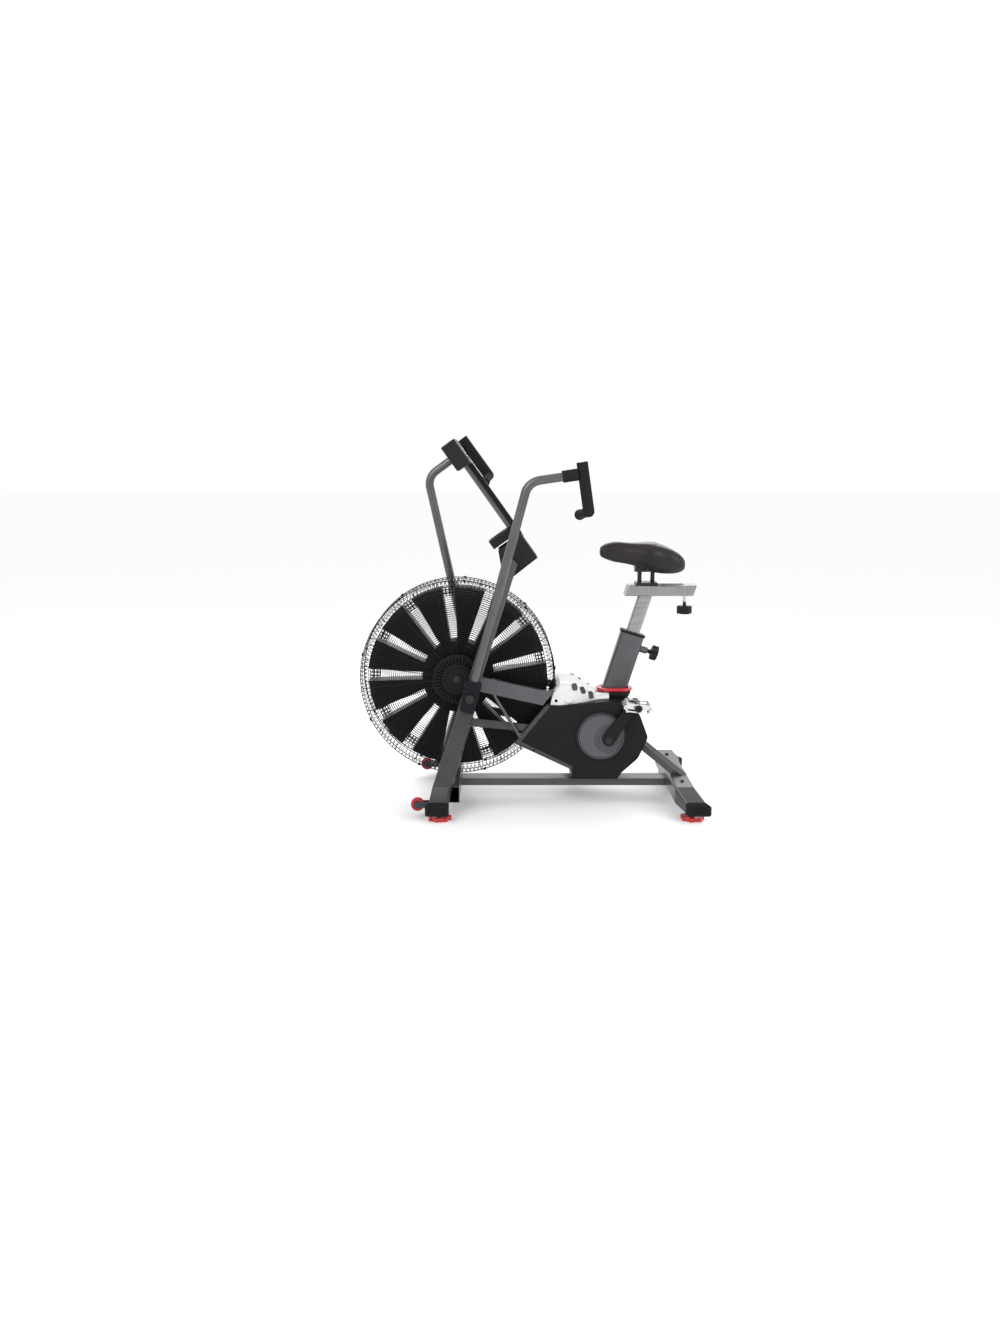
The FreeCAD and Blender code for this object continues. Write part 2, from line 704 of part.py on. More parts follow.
lean = math.radians(size("mast_lean"))
leg_direction = Vector(math.sin(lean), 0, math.cos(lean))
crossbar_z = size("crossbar_height")
mast_leg_length = (crossbar_z + 10 - pivot_z) / math.cos(lean)
crossbar_x = pivot_x + math.tan(lean) * (crossbar_z - pivot_z)
mast_turn = Rotation(Y, size("mast_lean"))
crossbar = rod("crossbar_radius", 2 * side_outer, Vector(crossbar_x, -side_outer, crossbar_z), Y)
mast_legs = []
for hand in (LEFT, RIGHT):
    span = hand * (side_inner + side_outer) / 2
    foot = Vector(pivot_x, span, pivot_z)
    leg = block("mast_leg_length", "side_width", mast_leg_length,
                foot + leg_direction * (mast_leg_length / 2), mast_turn)
    hollow = block("mast_leg_length - 2 * tube_wall", "side_width - 2 * tube_wall",
                   mast_leg_length - 120, foot + leg_direction * (mast_leg_length / 2), mast_turn)
    boss = rod("pivot_boss_radius", "side_width", Vector(pivot_x, span - size("side_width") / 2, pivot_z), Y)
    bore = rod("pivot_shaft_radius + shaft_gap", 2 * side_outer, Vector(pivot_x, -side_outer, pivot_z), Y)
    mast_legs.append(cut(fused(leg, boss), hollow, bore))
node(fused(crossbar, *mast_legs), "mast_fork")

beam_turn = Rotation(Y, size("beam_slope"))
beam_start = Vector(pivot_x + 22, 0, pivot_z + 34)
beam_length = size("beam_reach")
beam_along = beam_turn.multVec(X)
stay_span = side_outer - 6
beam_middle = beam_start + beam_along * (beam_length / 2)
beam_tip = beam_start + beam_along * (beam_length - 16)
side_middle = (side_inner + side_outer) / 2
end_turn = Rotation(Y, size("beam_end_lean"))
side_beams = []
for hand in (LEFT, RIGHT):
    to_side = Y * hand * side_middle
    middle = beam_middle + to_side
    beam = block(beam_length, "side_width - 4", "beam_height", middle, beam_turn)
    hollow = block(beam_length, "side_width - 4 - 2 * tube_wall", "beam_height - 2 * tube_wall",
                   middle, beam_turn)
    leg_middle = Vector(pivot_x, 0, pivot_z) + leg_direction * (mast_leg_length / 2) + to_side
    leg_space = block("mast_leg_length", "side_width", mast_leg_length, leg_middle, mast_turn)
    boss_space = rod("pivot_boss_radius", 2 * side_outer, Vector(pivot_x, -side_outer, pivot_z), Y)
    end_space = block(60, "side_width", 140, beam_tip + to_side + end_turn.multVec(X) * 30, end_turn)
    stay_top = beam_start + beam_along * 62 - Z * (size("beam_height") / 2 - 1) + Y * hand * stay_span
    stay_foot = Vector(crank_x - 325, hand * stay_span, crank_z + 5)
    side_beams.append(cut(beam, hollow, leg_space, boss_space, end_space))
    side_beams.append(cut(rod_between(6, stay_foot, stay_top), block(beam_length, "side_width",
                                                                     "beam_height", middle, beam_turn)))
node(group(side_beams), "side_beams")

seat_lean = math.radians(size("seat_lean"))
seat_turn = Rotation(Y, size("seat_lean"))
seat_foot = Vector(size("seat_foot"), 0, size("rail_top"))
seat_along = seat_turn.multVec(Z)
seat_back = seat_turn.multVec(X)
tube_depth = size("seat_tube_depth")


def on_seat_axis(height):
    """The point of the seat tube's axis at a height above the floor."""
    return seat_foot + seat_along * ((height - seat_foot.z) / math.cos(seat_lean))


yoke = Vector(fan_x + cage_radius + 14, 0, pivot_z - 6)
yoke_half = side_inner + 2
yoke_bar = rod("crossbar_radius - 6", 2 * yoke_half, yoke - Y * yoke_half, Y)
cheek_middle = Vector(yoke.x - 38, yoke_half - 3, yoke.z - 2)
cheeks = [block(100, 6, 24, Vector(cheek_middle.x, hand * cheek_middle.y, cheek_middle.z))
          for hand in (LEFT, RIGHT)]
spine_start = yoke - Z * 12
spine_end = Vector(on_seat_axis(pivot_z - 46).x - tube_depth / 2, 0, pivot_z - 46)
spine_run = spine_end - spine_start
spine = block(28, 40, spine_run.Length + 24, spine_start + spine_run * 0.5 + spine_run.normalize() * 12,
              Rotation(Z, spine_run))
tube_space = block("seat_tube_depth", "seat_tube_width", 300, on_seat_axis(spine_end.z), seat_turn)
node(cut(fused(yoke_bar, spine, *cheeks), tube_space), "frame_spine")

tube_length = size("seat_tube_length")
seat_tube_solid = block("seat_tube_depth", "seat_tube_width", tube_length + 40,
                        seat_foot + seat_along * ((tube_length - 40) / 2), seat_turn)
seat_tube_hollow = block("seat_tube_depth - 2 * tube_wall", "seat_tube_width - 2 * tube_wall",
                         tube_length + 80, seat_foot + seat_along * (tube_length / 2), seat_turn)
below_rail = block(400, 400, 200, Vector(seat_foot.x, 0, size("rail_top") - 100))
shell_left, shell_right = 98, 76
shell = rod("shell_radius", shell_left + shell_right, Vector(crank_x, -shell_left, crank_z), Y)
shell_bore = rod("bearing_radius + 0.05", 400, Vector(crank_x, -200, crank_z), Y)
knob_z = 586
knob_height = (knob_z - seat_foot.z) / math.cos(seat_lean)
knob_seat = seat_foot + seat_along * knob_height
knob_sleeve = rod(13, 30, knob_seat + seat_back * (tube_depth / 2 - 2), seat_back)
knob_bore = rod(8.3, tube_depth, knob_seat + seat_back * 5, seat_back)
upright = rounded(seat_tube_solid, 14, lambda e: lies_along(e, Vector(seat_along)))
node(cut(fused(cut(upright, rounded(seat_tube_hollow, 12, lambda e: lies_along(e, Vector(seat_along)))),
               shell, knob_sleeve), below_rail, shell_bore, knob_bore), "seat_tube")

crank_bearings = []
for y in (-shell_left, shell_right - 14):
    ring = rod("bearing_radius", 14, Vector(crank_x, y, crank_z), Y)
    hole = rod("crank_radius + shaft_gap", 14, Vector(crank_x, y, crank_z), Y)
    crank_bearings.append(cut(ring, hole))
node(group(crank_bearings), "crank_bearings")

brace_start = on_seat_axis(306) + seat_back * (tube_depth / 2 - 2) + Y * -18
brace_end = Vector(rear_x + 4, -98, foot_top)
brace_turn = Rotation(Z, brace_end - brace_start)


def brace_bar(width, beyond):
    run = brace_end - brace_start
    middle = (brace_start + brace_end) / 2
    return block(width, width, run.Length + beyond, middle, brace_turn)


brace_seat = block(foot_length + 40, 400, 200, Vector(rear_x, 0, foot_top - 100))
brace_root = block("seat_tube_depth", "seat_tube_width", 500, on_seat_axis(306), seat_turn)
node(cut(brace_bar(28, 60), brace_bar(23, 62), brace_seat, brace_root), "rear_brace")


# ---------------------------------------------------------------- mast, bottle holder, console

knee_z = size("knee_height")
knee = Vector(crossbar_x + math.tan(lean) * (knee_z - crossbar_z), 0, knee_z)
tilt = Rotation(Y, -size("post_tilt"))


def on_mast(back, across, up):
    """A point in the leaning mast's own frame, measured from its knee."""
    return knee + tilt.multVec(Vector(back, across, up))


def mast_block(length, width, height, back, across, up):
    return block(length, width, height, on_mast(back, across, up), tilt)


console_up = 322
console_back = 18
post_length = console_up + 8
neck_radius = size("post_radius") + 5
crossbar_middle = Vector(crossbar_x, 0, crossbar_z)
neck = rod_between(neck_radius, crossbar_middle, knee)
ball = doc.addObject("Part::Sphere", "knee")
ball.Radius = neck_radius
ball.Placement.Base = knee
post = rod("post_radius", post_length, knee, on_mast(0, 0, 1) - knee)
crossbar_space = rod("crossbar_radius", 100, crossbar_middle - Y * 50, Y)
node(cut(fused(neck, ball, post), crossbar_space), "mast_post")

back_length = console_up - 8
back_panel = mast_block(17, 50, back_length, 11.5, 0, back_length / 2 + 6)
post_space = rod("post_radius + slide_gap", post_length, knee, on_mast(0, 0, 1) - knee)
ball_space = rod(neck_radius + 1, 60, on_mast(0, 0, -30), on_mast(0, 0, 1) - knee)
node(cut(back_panel, post_space, ball_space), "mast_back_cover")

holder_width = 150
holder_walls = 4
holder_outline = [(15, -98, 4), (15, 6, 4), (-87, 6, 4), (-118, -60, 24), (-118, -104, 8)]


def bottle_holder():
    """The open-topped holder round the mast's knee."""
    def prism(shrink, top):
        points = []
        for back, up, corner in holder_outline:
            back += shrink if back < 0 else -shrink
            up = up + shrink if up < 0 else up + top
            points.append(on_mast(back, 0, up))
        wire = Part.makePolygon(points + points[:1])
        half = holder_width / 2 - shrink
        solid = Part.Face(wire).extrude(Vector(0, 2 * half, 0))
        solid.translate(Vector(0, -half, 0))
        return solid

    shell = prism(0, 0).cut(prism(holder_walls, 20))
    through = neck_radius + 1
    neck_space = Part.makeCylinder(through, (knee - crossbar_middle).Length + 60, crossbar_middle
                                   - (knee - crossbar_middle) * 0.4, knee - crossbar_middle)
    bar_space = Part.makeCylinder(size("crossbar_radius"), 300, crossbar_middle - Y * 150, Y)
    return free_shape(shell.cut([neck_space, bar_space]))


ring_up = 34
ring_block = mast_block(82, 100, 34, -57, 0, ring_up)
ring_hole = rod(33, 60, on_mast(-58, 0, ring_up - 30), on_mast(0, 0, 1) - knee)
ring_arm = mast_block(30, 40, 34, -12, 0, ring_up)
ring_round = rounded(ring_block, 8, lambda e: lies_along(e, on_mast(0, 0, 1) - knee))
bottle_ring = cut(fused(ring_round, ring_arm), ring_hole, post_space)
node(group([bottle_holder(), bottle_ring]), "bottle_holder")

console_middle = (console_back - size("console_depth") / 2, 0, console_up + size("console_height") / 2)
console_box = mast_block("console_depth", "console_width", "console_height", *console_middle)
screen_pocket = mast_block(6, 170, 52, console_back - 2, 0, console_up + 70)
console_post = rod("post_radius + slide_gap", post_length + 0.5, knee, on_mast(0, 0, 1) - knee)
button_places = [(-60, "start"), (0, "mode"), (60, "reset")]
button_up = console_up + 20
button_holes = [rod("button_radius + slide_gap", 14, on_mast(console_back - 13, across, button_up),
                    on_mast(1, 0, 0) - knee) for across, name in button_places]
console_round = rounded(console_box, 5, lambda e: True)
console_cut = [screen_pocket, console_post] + button_holes
node(cut(console_round, *console_cut), "console_housing")
node(mast_block(3, 170, 52, console_back - 3.5, 0, console_up + 70), "console_screen")
for across, name in button_places:
    node(rod("button_radius", 11, on_mast(console_back - 8, across, button_up),
             on_mast(1, 0, 0) - knee), f"{name}_button")


# ---------------------------------------------------------------- arms and link rods

arm_span = size("arm_span")
arm_radius = size("arm_radius")
arm_length = size("arm_length")
bend = size("arm_bend")
bend_angle = math.radians(size("arm_bend_angle"))
bend_cut = bend * math.tan(bend_angle / 2)
lever_span = side_outer + 4
lever_width = 12
pin_radius = 7
socket_half = 18
grip_up = 40


def arm_frame(hand):
    """Placement of an arm: upright in its own frame, with its pivot at the frame's origin."""
    lean_angle = size("left_arm_lean") if hand == LEFT else right_arm_lean
    return Placement(Vector(pivot_x, hand * arm_span, pivot_z), Rotation(Y, lean_angle))


arm_end_along = Vector(math.sin(bend_angle), 0, math.cos(bend_angle))
arm_corner = Vector(0, 0, arm_length)
arm_end = arm_corner + arm_end_along * size("arm_top_length")


def arm_tube(hand):
    """The bent arm tube, straight from its socket to the bend and on to the grip."""
    bottom = Vector(0, 0, 20)
    bend_start = arm_corner - Z * bend_cut
    bend_end = arm_corner + arm_end_along * bend_cut
    centre = bend_start + X * bend
    half = bend_angle / 2
    top = centre + Vector(-math.cos(half), 0, math.sin(half)) * bend
    path = Part.Wire([Part.makeLine(bottom, bend_start), Part.Arc(bend_start, top, bend_end).toShape(),
                      Part.makeLine(bend_end, arm_end)])
    ends = [Part.Wire(Part.makeCircle(radius, bottom, Z)) for radius in (arm_radius, arm_radius - 2.5)]
    outer, inner = [path.makePipeShell([ring], True, False) for ring in ends]
    piece = free_shape(outer.cut(inner))
    piece.Placement = arm_frame(hand)
    return piece


def arm_socket(hand):
    """The cast socket that clamps the arm tube to its shaft."""
    body = Part.makeBox(56, 2 * socket_half, 116, Vector(-28, -socket_half, -52))
    body = body.makeFillet(9, [e for e in body.Edges if lies_along(e, Z) or lies_along(e, Y)])
    body = body.cut(Part.makeCylinder(arm_radius, 60, Vector(0, 0, 20)))
    body = body.cut(Part.makeCylinder(size("pivot_shaft_radius"), 100, Vector(0, -50, 0), Y))
    leg_step = Part.makeBox(80, 6, 60, Vector(-40, 12 if hand == LEFT else -18, -90))
    piece = free_shape(body.cut(leg_step))
    piece.Placement = arm_frame(hand)
    return piece


def pivot_shaft(hand):
    """The arm's shaft with the lever that pulls the link rod."""
    inward = Y * -hand
    outer = 24
    start = Vector(0, hand * outer, 0)
    reach = arm_span + outer - side_inner - 2
    lever_y = arm_span - lever_span
    shaft = Part.makeCylinder(size("pivot_shaft_radius"), reach, start, inward)
    head = Part.makeCylinder(16, 5, start, -inward)
    lever_foot = Vector(0, -hand * (lever_y - lever_width), 0)
    hub = Part.makeCylinder(22, lever_width, lever_foot, inward)
    low = lever_foot - Z * size("lever_length")
    eye = Part.makeCylinder(14, lever_width, low, inward)
    plate = Part.makeBox(24, lever_width, size("lever_length"),
                         Vector(-12, min(lever_foot.y, lever_foot.y - hand * lever_width),
                                -size("lever_length")))
    pin_length = lever_span + lever_width - size("rod_span") + 3
    pin = Part.makeCylinder(pin_radius, pin_length, low, inward)
    piece = free_shape(shaft.fuse([head, hub, eye, plate, pin]).removeSplitter())
    piece.Placement = arm_frame(hand)
    return piece


def hand_grip(hand):
    """The upright rubber grip across the arm's end, with a side grip at its foot."""
    across = Vector(math.cos(bend_angle), 0, -math.sin(bend_angle))
    radius = size("grip_radius")
    joint = arm_end + arm_end_along * (radius - 2)
    top = joint - across * grip_up
    low = top + across * size("grip_length")
    upright = Part.makeCylinder(radius, size("grip_length"), top, across)
    knuckle = Part.makeSphere(radius, low)
    inward = (Y * -hand * 100 + across * 12 - arm_end_along * 26).normalize()
    side_grip = Part.makeCylinder(radius - 3, 100, low, inward)
    tip = Part.makeCylinder(radius - 1, 9, low + inward * 100, inward)
    sleeve = Part.makeCylinder(radius + 1, 56, arm_end - arm_end_along * 56, arm_end_along)
    tube = Part.makeCylinder(arm_radius, 70, arm_end - arm_end_along * 70, arm_end_along)
    piece = free_shape(upright.fuse([knuckle, side_grip, tip, sleeve]).cut(tube).removeSplitter())
    piece.Placement = arm_frame(hand)
    return piece


for hand, side in HANDS:
    node(arm_tube(hand), f"{side}_arm")
    node(arm_socket(hand), f"{side}_arm_socket")
    node(pivot_shaft(hand), f"{side}_pivot_shaft")
    node(hand_grip(hand), f"{side}_grip")


def throw_centre(hand):
    """Middle of the eccentric disc on one side of the crank, in side view."""
    angle = math.radians(size("throw_angle") + (0 if hand == LEFT else 180))
    return crank_x + size("throw") * math.cos(angle), crank_z + size("throw") * math.sin(angle)


ring_inner, ring_outer = 52, 64


def link_rod(hand):
    """The rod from an arm's lever to the ring round the crank's eccentric."""
    pin_place = arm_frame(hand).multVec(Vector(0, 0, -size("lever_length")))
    ring_x, ring_z = throw_centre(hand)
    outline = tapered(pin_place.x, pin_place.z, 15, ring_x, ring_z, 12)
    bar = side_plate(hand, "rod_span", "rod_thickness", outline)
    ring = side_plate(hand, "rod_span", "rod_thickness", [circle(ring_x, ring_z, ring_outer)])
    start = Vector(ring_x, -200, ring_z)
    hole = rod(ring_inner, 400, start, Y)
    pin_hole = rod(pin_radius + size("shaft_gap"), 400, Vector(pin_place.x, -200, pin_place.z), Y)
    return cut(fused(bar, ring), hole, pin_hole)


for hand, side in HANDS:
    node(link_rod(hand), f"{side}_link_rod")


# ---------------------------------------------------------------- crank, pulley and pedals

arm_plate_inner = size("cover_span") + 9
arm_plate = 18
pedal_inner = arm_plate_inner + arm_plate + 16
axle_reach = arm_plate_inner + arm_plate
node(rod("crank_radius", 2 * axle_reach, Vector(crank_x, -axle_reach, crank_z), Y), "crank_axle")

pulley_web = side_plate(RIGHT, "belt_inner", "belt_width", [circle(crank_x, crank_z,
                                                                   size("big_pulley_radius"))])
recesses = []
for y in (belt_inner, belt_inner + size("belt_width") - 4):
    dish = cut(rod("big_pulley_radius - 10", 4, Vector(crank_x, y, crank_z), Y),
               rod(26, 4, Vector(crank_x, y, crank_z), Y))
    recesses.append(dish)
lightening = [rod(17, 60, Vector(crank_x + 58 * math.cos(t), 60, crank_z + 58 * math.sin(t)), Y)
              for t in [2 * math.pi * i / 6 for i in range(6)]]
node(cut(pulley_web, rod("crank_radius", 200, Vector(crank_x, 0, crank_z), Y), *recesses, *lightening),
     "drive_pulley")


def crank_foot(hand):
    """Placement at a pedal spindle, in side view."""
    angle = math.radians(size("crank_angle") + (0 if hand == LEFT else 180))
    return (crank_x + size("crank_length") * math.cos(angle),
            crank_z + size("crank_length") * math.sin(angle))


axle_space = rod("crank_radius", 400, Vector(crank_x, -200, crank_z), Y)
collar_start = size("cover_span") - 6
crank_discs = []
crank_arms = []
for hand in (LEFT, RIGHT):
    disc_x, disc_z = throw_centre(hand)
    disc = side_plate(hand, "cover_span + 2", 7, [circle(disc_x, disc_z, size("disc_radius"))])
    collar = rod(30, size("cover_span") + 2 - collar_start,
                 Vector(crank_x, hand * collar_start, crank_z), Y * hand)
    crank_discs.append(cut(fused(disc, collar), axle_space))
    foot_x, foot_z = crank_foot(hand)
    outline = tapered(crank_x, crank_z, 24, foot_x, foot_z, 16)
    arm = side_plate(hand, arm_plate_inner, arm_plate, outline)
    spindle = rod("spindle_radius", pedal_inner + size("pedal_width") + 4 - axle_reach + 4,
                  Vector(foot_x, hand * (axle_reach - 4), foot_z), Y * hand)
    crank_arms.append(cut(fused(arm, spindle), axle_space))
node(group(crank_discs), "crank_discs")
node(group(crank_arms), "crank_arms")


def pedal(hand):
    """A cage pedal: a barrel on the spindle, two toothed plates and the cage's ends."""
    foot_x, foot_z = crank_foot(hand)
    middle_y = hand * (pedal_inner + size("pedal_width") / 2)
    turn = Rotation(Y, -6 if hand == LEFT else 0)
    length, width, height = size("pedal_length"), size("pedal_width"), size("pedal_height")
    axis = Vector(foot_x, middle_y, foot_z)

    def at(x, y):
        return axis + turn.multVec(Vector(x, y, 0))

    pieces = [rod(14, "pedal_width", axis - Y * (width / 2), Y)]
    for end in (-1, 1):
        pieces.append(block(4, "pedal_width", "pedal_height", at(end * (length / 2 - 2), 0), turn))
        pieces.append(block("pedal_length", 4, height - 6, at(0, end * (width / 2 - 2)), turn))
    pieces.append(block("pedal_length - 2", 5, height - 10, at(0, 0), turn))
    bore = rod("spindle_radius + shaft_gap", 200, axis - Y * 100, Y)
    return cut(fused(*pieces), bore)


for hand, side in HANDS:
    node(pedal(hand), f"{side}_pedal")


# ---------------------------------------------------------------- covers

cover_outer = size("cover_span")
cover_wall = size("cover_wall")


def cover_outline(inset):
    """Side view of the drive cover, as (x, z, corner radius) points round the crank."""
    points = [(-350, -16, 6), (-234, 126, 8), (-178, 123, 60), (-30, 138, 90), (66, 136, 60),
              (116, 90, 40), (148, 4, 26), (112, -76, 60), (54, -128, 40), (36, -155, 4),
              (-136, -155, 4), (-132, -120, 8), (-326, -28, 6)]
    outline = []
    for i, (x, z, corner) in enumerate(points):
        before = Vector(*points[i - 1][:2], 0)
        here = Vector(x, z, 0)
        after = Vector(*points[(i + 1) % len(points)][:2], 0)
        first = (here - before).normalize()
        second = (after - here).normalize()
        inward = (Vector(first.y, -first.x, 0) + Vector(second.y, -second.x, 0)).normalize()
        turn = math.cos(first.getAngle(second) / 2)
        moved = here + inward * (inset / turn)
        outline.append((moved.x + crank_x, moved.y + crank_z, max(corner - inset, 0)))
    return outline


def cover_prism(inset, inner, outer):
    """The drive cover's side view, inset all round, from one distance across to another."""
    wire = Part.Wire([g.toShape() for g in polygon(cover_outline(inset))])
    wire.rotate(Vector(), X, 90)
    solid = Part.Face(wire).extrude(Vector(0, outer - inner, 0))
    solid.translate(Vector(0, inner, 0))
    return solid


cover_step = crank_x - 178


def side_cover(hand):
    """One shell of the drive cover. Its front stays open for the link rod and the belt."""
    edge = 1.0
    front_block = Part.makeBox(600, side_inner - 4, 800, Vector(cover_step - 600, 0, 0))
    outer = cover_prism(0, edge, cover_outer).cut(front_block)
    inner = cover_prism(cover_wall, 0, cover_outer - cover_wall)
    shell = outer.cut(inner)
    mouth = Part.makePolygon([Vector(crank_x - 420, 0, crank_z - 20), Vector(crank_x - 337, 0, crank_z - 19),
                              Vector(crank_x - 226, 0, crank_z + 117), Vector(crank_x - 232, 0,
                                                                              crank_z + 134),
                              Vector(crank_x - 420, 0, crank_z + 134), Vector(crank_x - 420, 0,
                                                                              crank_z - 20)])
    mouth = Part.Face(mouth).extrude(Vector(0, cover_outer - cover_wall, 0))
    crank_hole = Part.makeCylinder(46, 400, Vector(crank_x, 0, crank_z), Y)
    low_rail = Part.makeBox(900, size("rail_width") / 2 + 2, size("rail_top") + 0.3, Vector(-200, 0, 0))
    shell = shell.cut([mouth, crank_hole, low_rail])
    if hand == LEFT:
        shell = shell.mirror(Vector(), Y)
    return shell


seat_space = Part.makeBox(tube_depth + 2, size("seat_tube_width") + 2, tube_length + 200,
                          Vector(-tube_depth / 2 - 1, -size("seat_tube_width") / 2 - 1, -100))
seat_space.Placement = Placement(seat_foot, seat_turn)
brace_space = Part.makeBox(34, 34, (brace_end - brace_start).Length + 80,
                           Vector(-17, -17, -40))
brace_space.Placement = Placement(brace_start, brace_turn)
cheek_spaces = [Part.makeBox(102, 10, 26, Vector(cheek_middle.x - 51, y, cheek_middle.z - 13))
                for y in (-109, 99)]
spine_space = Part.makeBox(130, 42, 34, Vector(spine_end.x - 105, -21, spine_end.z - 17))
for hand, side in HANDS:
    shell = side_cover(hand).cut([seat_space, brace_space, spine_space, belt_space()])
    node(free_shape(shell), f"{side}_side_cover")

ring_height = 422
bumper_thickness = 13
bumper_back, bumper_side = 68, 54
fairing_gap = 0.5


def fairing():
    """The white cover that bridges the side beams' rear ends and the seat tube. Each row is
    x, underside over the crank axle, top over the crank axle, half width."""
    rows = [(56, 126, 147, 116), (107, 123, 208, 114), (160, 128.4, 203, 108), (190, 131.4, 187, 103),
            (240, 136.5, 159.5, 80), (292, 137.3, 158.5, 62)]

    def solid(inset, sink):
        wires = []
        for back, underside, top_rise, half in rows:
            top = crank_z + top_rise - inset
            low = crank_z + underside + fairing_gap - sink
            corner = min(22, (top - low) / 2 - 0.2)
            wires.append(section(Vector(back, 0, (top + low) / 2), Y, Z, 2 * (half - inset),
                                 top - low, corner))
        return loft(wires)

    below = [Vector(back, 0, crank_z + underside + fairing_gap) for back, underside, top, half in rows]
    below += [Vector(rows[-1][0], 0, 0), Vector(rows[0][0], 0, 0), below[0]]
    floor = Part.Face(Part.makePolygon(below)).extrude(Y * 2 * side_outer)
    floor.translate(Y * -side_outer)
    shell = solid(0, 30).cut([solid(cover_wall, 60), floor])
    beams = []
    for hand in (LEFT, RIGHT):
        beam = Part.makeBox(beam_length + 2, size("side_width"), size("beam_height") + 2,
                            Vector(-beam_length / 2 - 1, -size("side_width") / 2,
                                   -size("beam_height") / 2 - 1))
        beam.Placement = Placement(beam_middle + Y * hand * side_middle, beam_turn)
        beams.append(beam)
    cage = Part.makeCylinder(cage_radius + 4, 2 * cage_side + 8, Vector(fan_x, -cage_side - 4, fan_z), Y)
    covers = cover_prism(-fairing_gap, -cover_outer - fairing_gap, cover_outer + fairing_gap)
    shell = shell.cut([seat_space, cage, covers, belt_space()] + beams + cheek_spaces)
    return free_shape(max(shell.Solids, key=lambda piece: piece.Volume))


node(fairing(), "white_fairing")

ring_middle = on_seat_axis(ring_height)
bumper_outer = section(ring_middle - Z * bumper_thickness / 2, X, Y, 2 * bumper_back, 2 * bumper_side, 50)
bumper = Part.Face(bumper_outer).extrude(Z * bumper_thickness)
bumper = bumper.makeFillet(5, [e for e in bumper.Edges if abs(e.CenterOfMass.z - ring_height)
                               > bumper_thickness / 2 - 0.1])
node(free_shape(bumper.cut(seat_space)), "bumper_ring")


# ---------------------------------------------------------------- seat

bush_length = 30
bush_top = seat_foot + seat_along * tube_length
bush_body = block(tube_depth - 2 * wall - 0.6, size("seat_tube_width") - 2 * wall - 0.6, bush_length,
                  bush_top - seat_along * (bush_length / 2), seat_turn)
bush_flange = block("seat_tube_depth + 6", "seat_tube_width + 6", 9, bush_top + seat_along * 4.5, seat_turn)
bush_body = rounded(bush_body, 11.5, lambda e: lies_along(e, Vector(seat_along)))
bush_flange = rounded(bush_flange, 16, lambda e: lies_along(e, Vector(seat_along)))
post_gap = size("slide_gap")
post_path = block(size("post_depth") + 2 * post_gap, size("post_width") + 2 * post_gap, 300, bush_top,
                  seat_turn)
post_path = rounded(post_path, 10, lambda e: lies_along(e, Vector(seat_along)))
node(cut(fused(bush_body, bush_flange), post_path), "post_bush")

slider_z = size("slider_bottom")
slider_front = size("slider_front")
post_bottom = tube_length - size("post_inside")
post_top = (slider_z - seat_foot.z) / math.cos(seat_lean)
seat_post = block("post_depth", "post_width", post_top - post_bottom + 20,
                  seat_foot + seat_along * ((post_top + 20 + post_bottom) / 2), seat_turn)
seat_post = rounded(seat_post, 10, lambda e: lies_along(e, Vector(seat_along)))
above_post = block(600, 400, 200, Vector(on_seat_axis(slider_z).x, 0, slider_z + 100))
node(cut(seat_post, above_post), "seat_post")

slant = math.tan(seat_lean) * size("slider_height")
slider_length = size("slider_length")


def slider_outline(inset, reach):
    low, high = slider_z + inset, slider_z + size("slider_height") - inset
    return [Vector(slider_front - reach, 0, low), Vector(slider_front + slider_length + reach, 0, low),
            Vector(slider_front + slider_length + slant + reach, 0, high),
            Vector(slider_front + slant - reach, 0, high), Vector(slider_front - reach, 0, low)]


def slider():
    """The saddle's slider: a flat box tube with slanted ends and a slot along its top."""
    outer = Part.Face(Part.makePolygon(slider_outline(0, 0))).extrude(Y * size("slider_width"))
    outer.translate(Y * -size("slider_width") / 2)
    outer = outer.makeFillet(6, [e for e in outer.Edges if lies_along(e, X)])
    slider_wall = size("slider_wall")
    inner_width = size("slider_width") - 2 * slider_wall
    inner = Part.Face(Part.makePolygon(slider_outline(slider_wall, -slider_wall)))
    inner = inner.extrude(Y * inner_width)
    inner.translate(Y * -inner_width / 2)
    slot = Part.makeBox(size("slot_length"), size("slot_width"), 20,
                        Vector(slot_start, -size("slot_width") / 2, slider_z + size("slider_height") - 10))
    screw = Part.makeCylinder(6 + size("shaft_gap"), 20, Vector(slider_knob_x, 0, slider_z - 5))
    return free_shape(outer.cut([inner, slot, screw]))


slot_start = slider_front + slant + 10
slider_knob_x = slider_front + slider_length - 26
node(slider(), "saddle_slider")

saddle_x = slot_start + size("slot_length") / 2 - 33
slider_top = slider_z + size("slider_height")
carriage_gap = size("slide_gap")
saddle_floor = slider_top + 46
tongue_length = 60


def saddle_shape():
    """The padded saddle: a narrow nose that widens to the rear. Each row is the place along it,
    half its width, its underside over the clamp and its thickness."""
    front = saddle_x - 21 - size("saddle_length") / 2
    half = size("saddle_width") / 2
    rows = [(0, 22, 58, 34), (18, 30, 50, 54), (90, 44, 38, 69), (170, 84, 16, 90), (240, half, 0, 98),
            (290, half - 8, 2, 72), (size("saddle_length"), half - 34, 12, 34)]
    wires = []
    for along, half_width, low, thick in rows:
        corner = min(half_width, thick / 2) * 0.82
        wires.append(section(Vector(front + along, 0, saddle_floor + low + thick / 2), Y, Z,
                             2 * half_width, thick, corner))
    return loft(wires, False)


padded = saddle_shape()
node(free_shape(padded), "saddle")


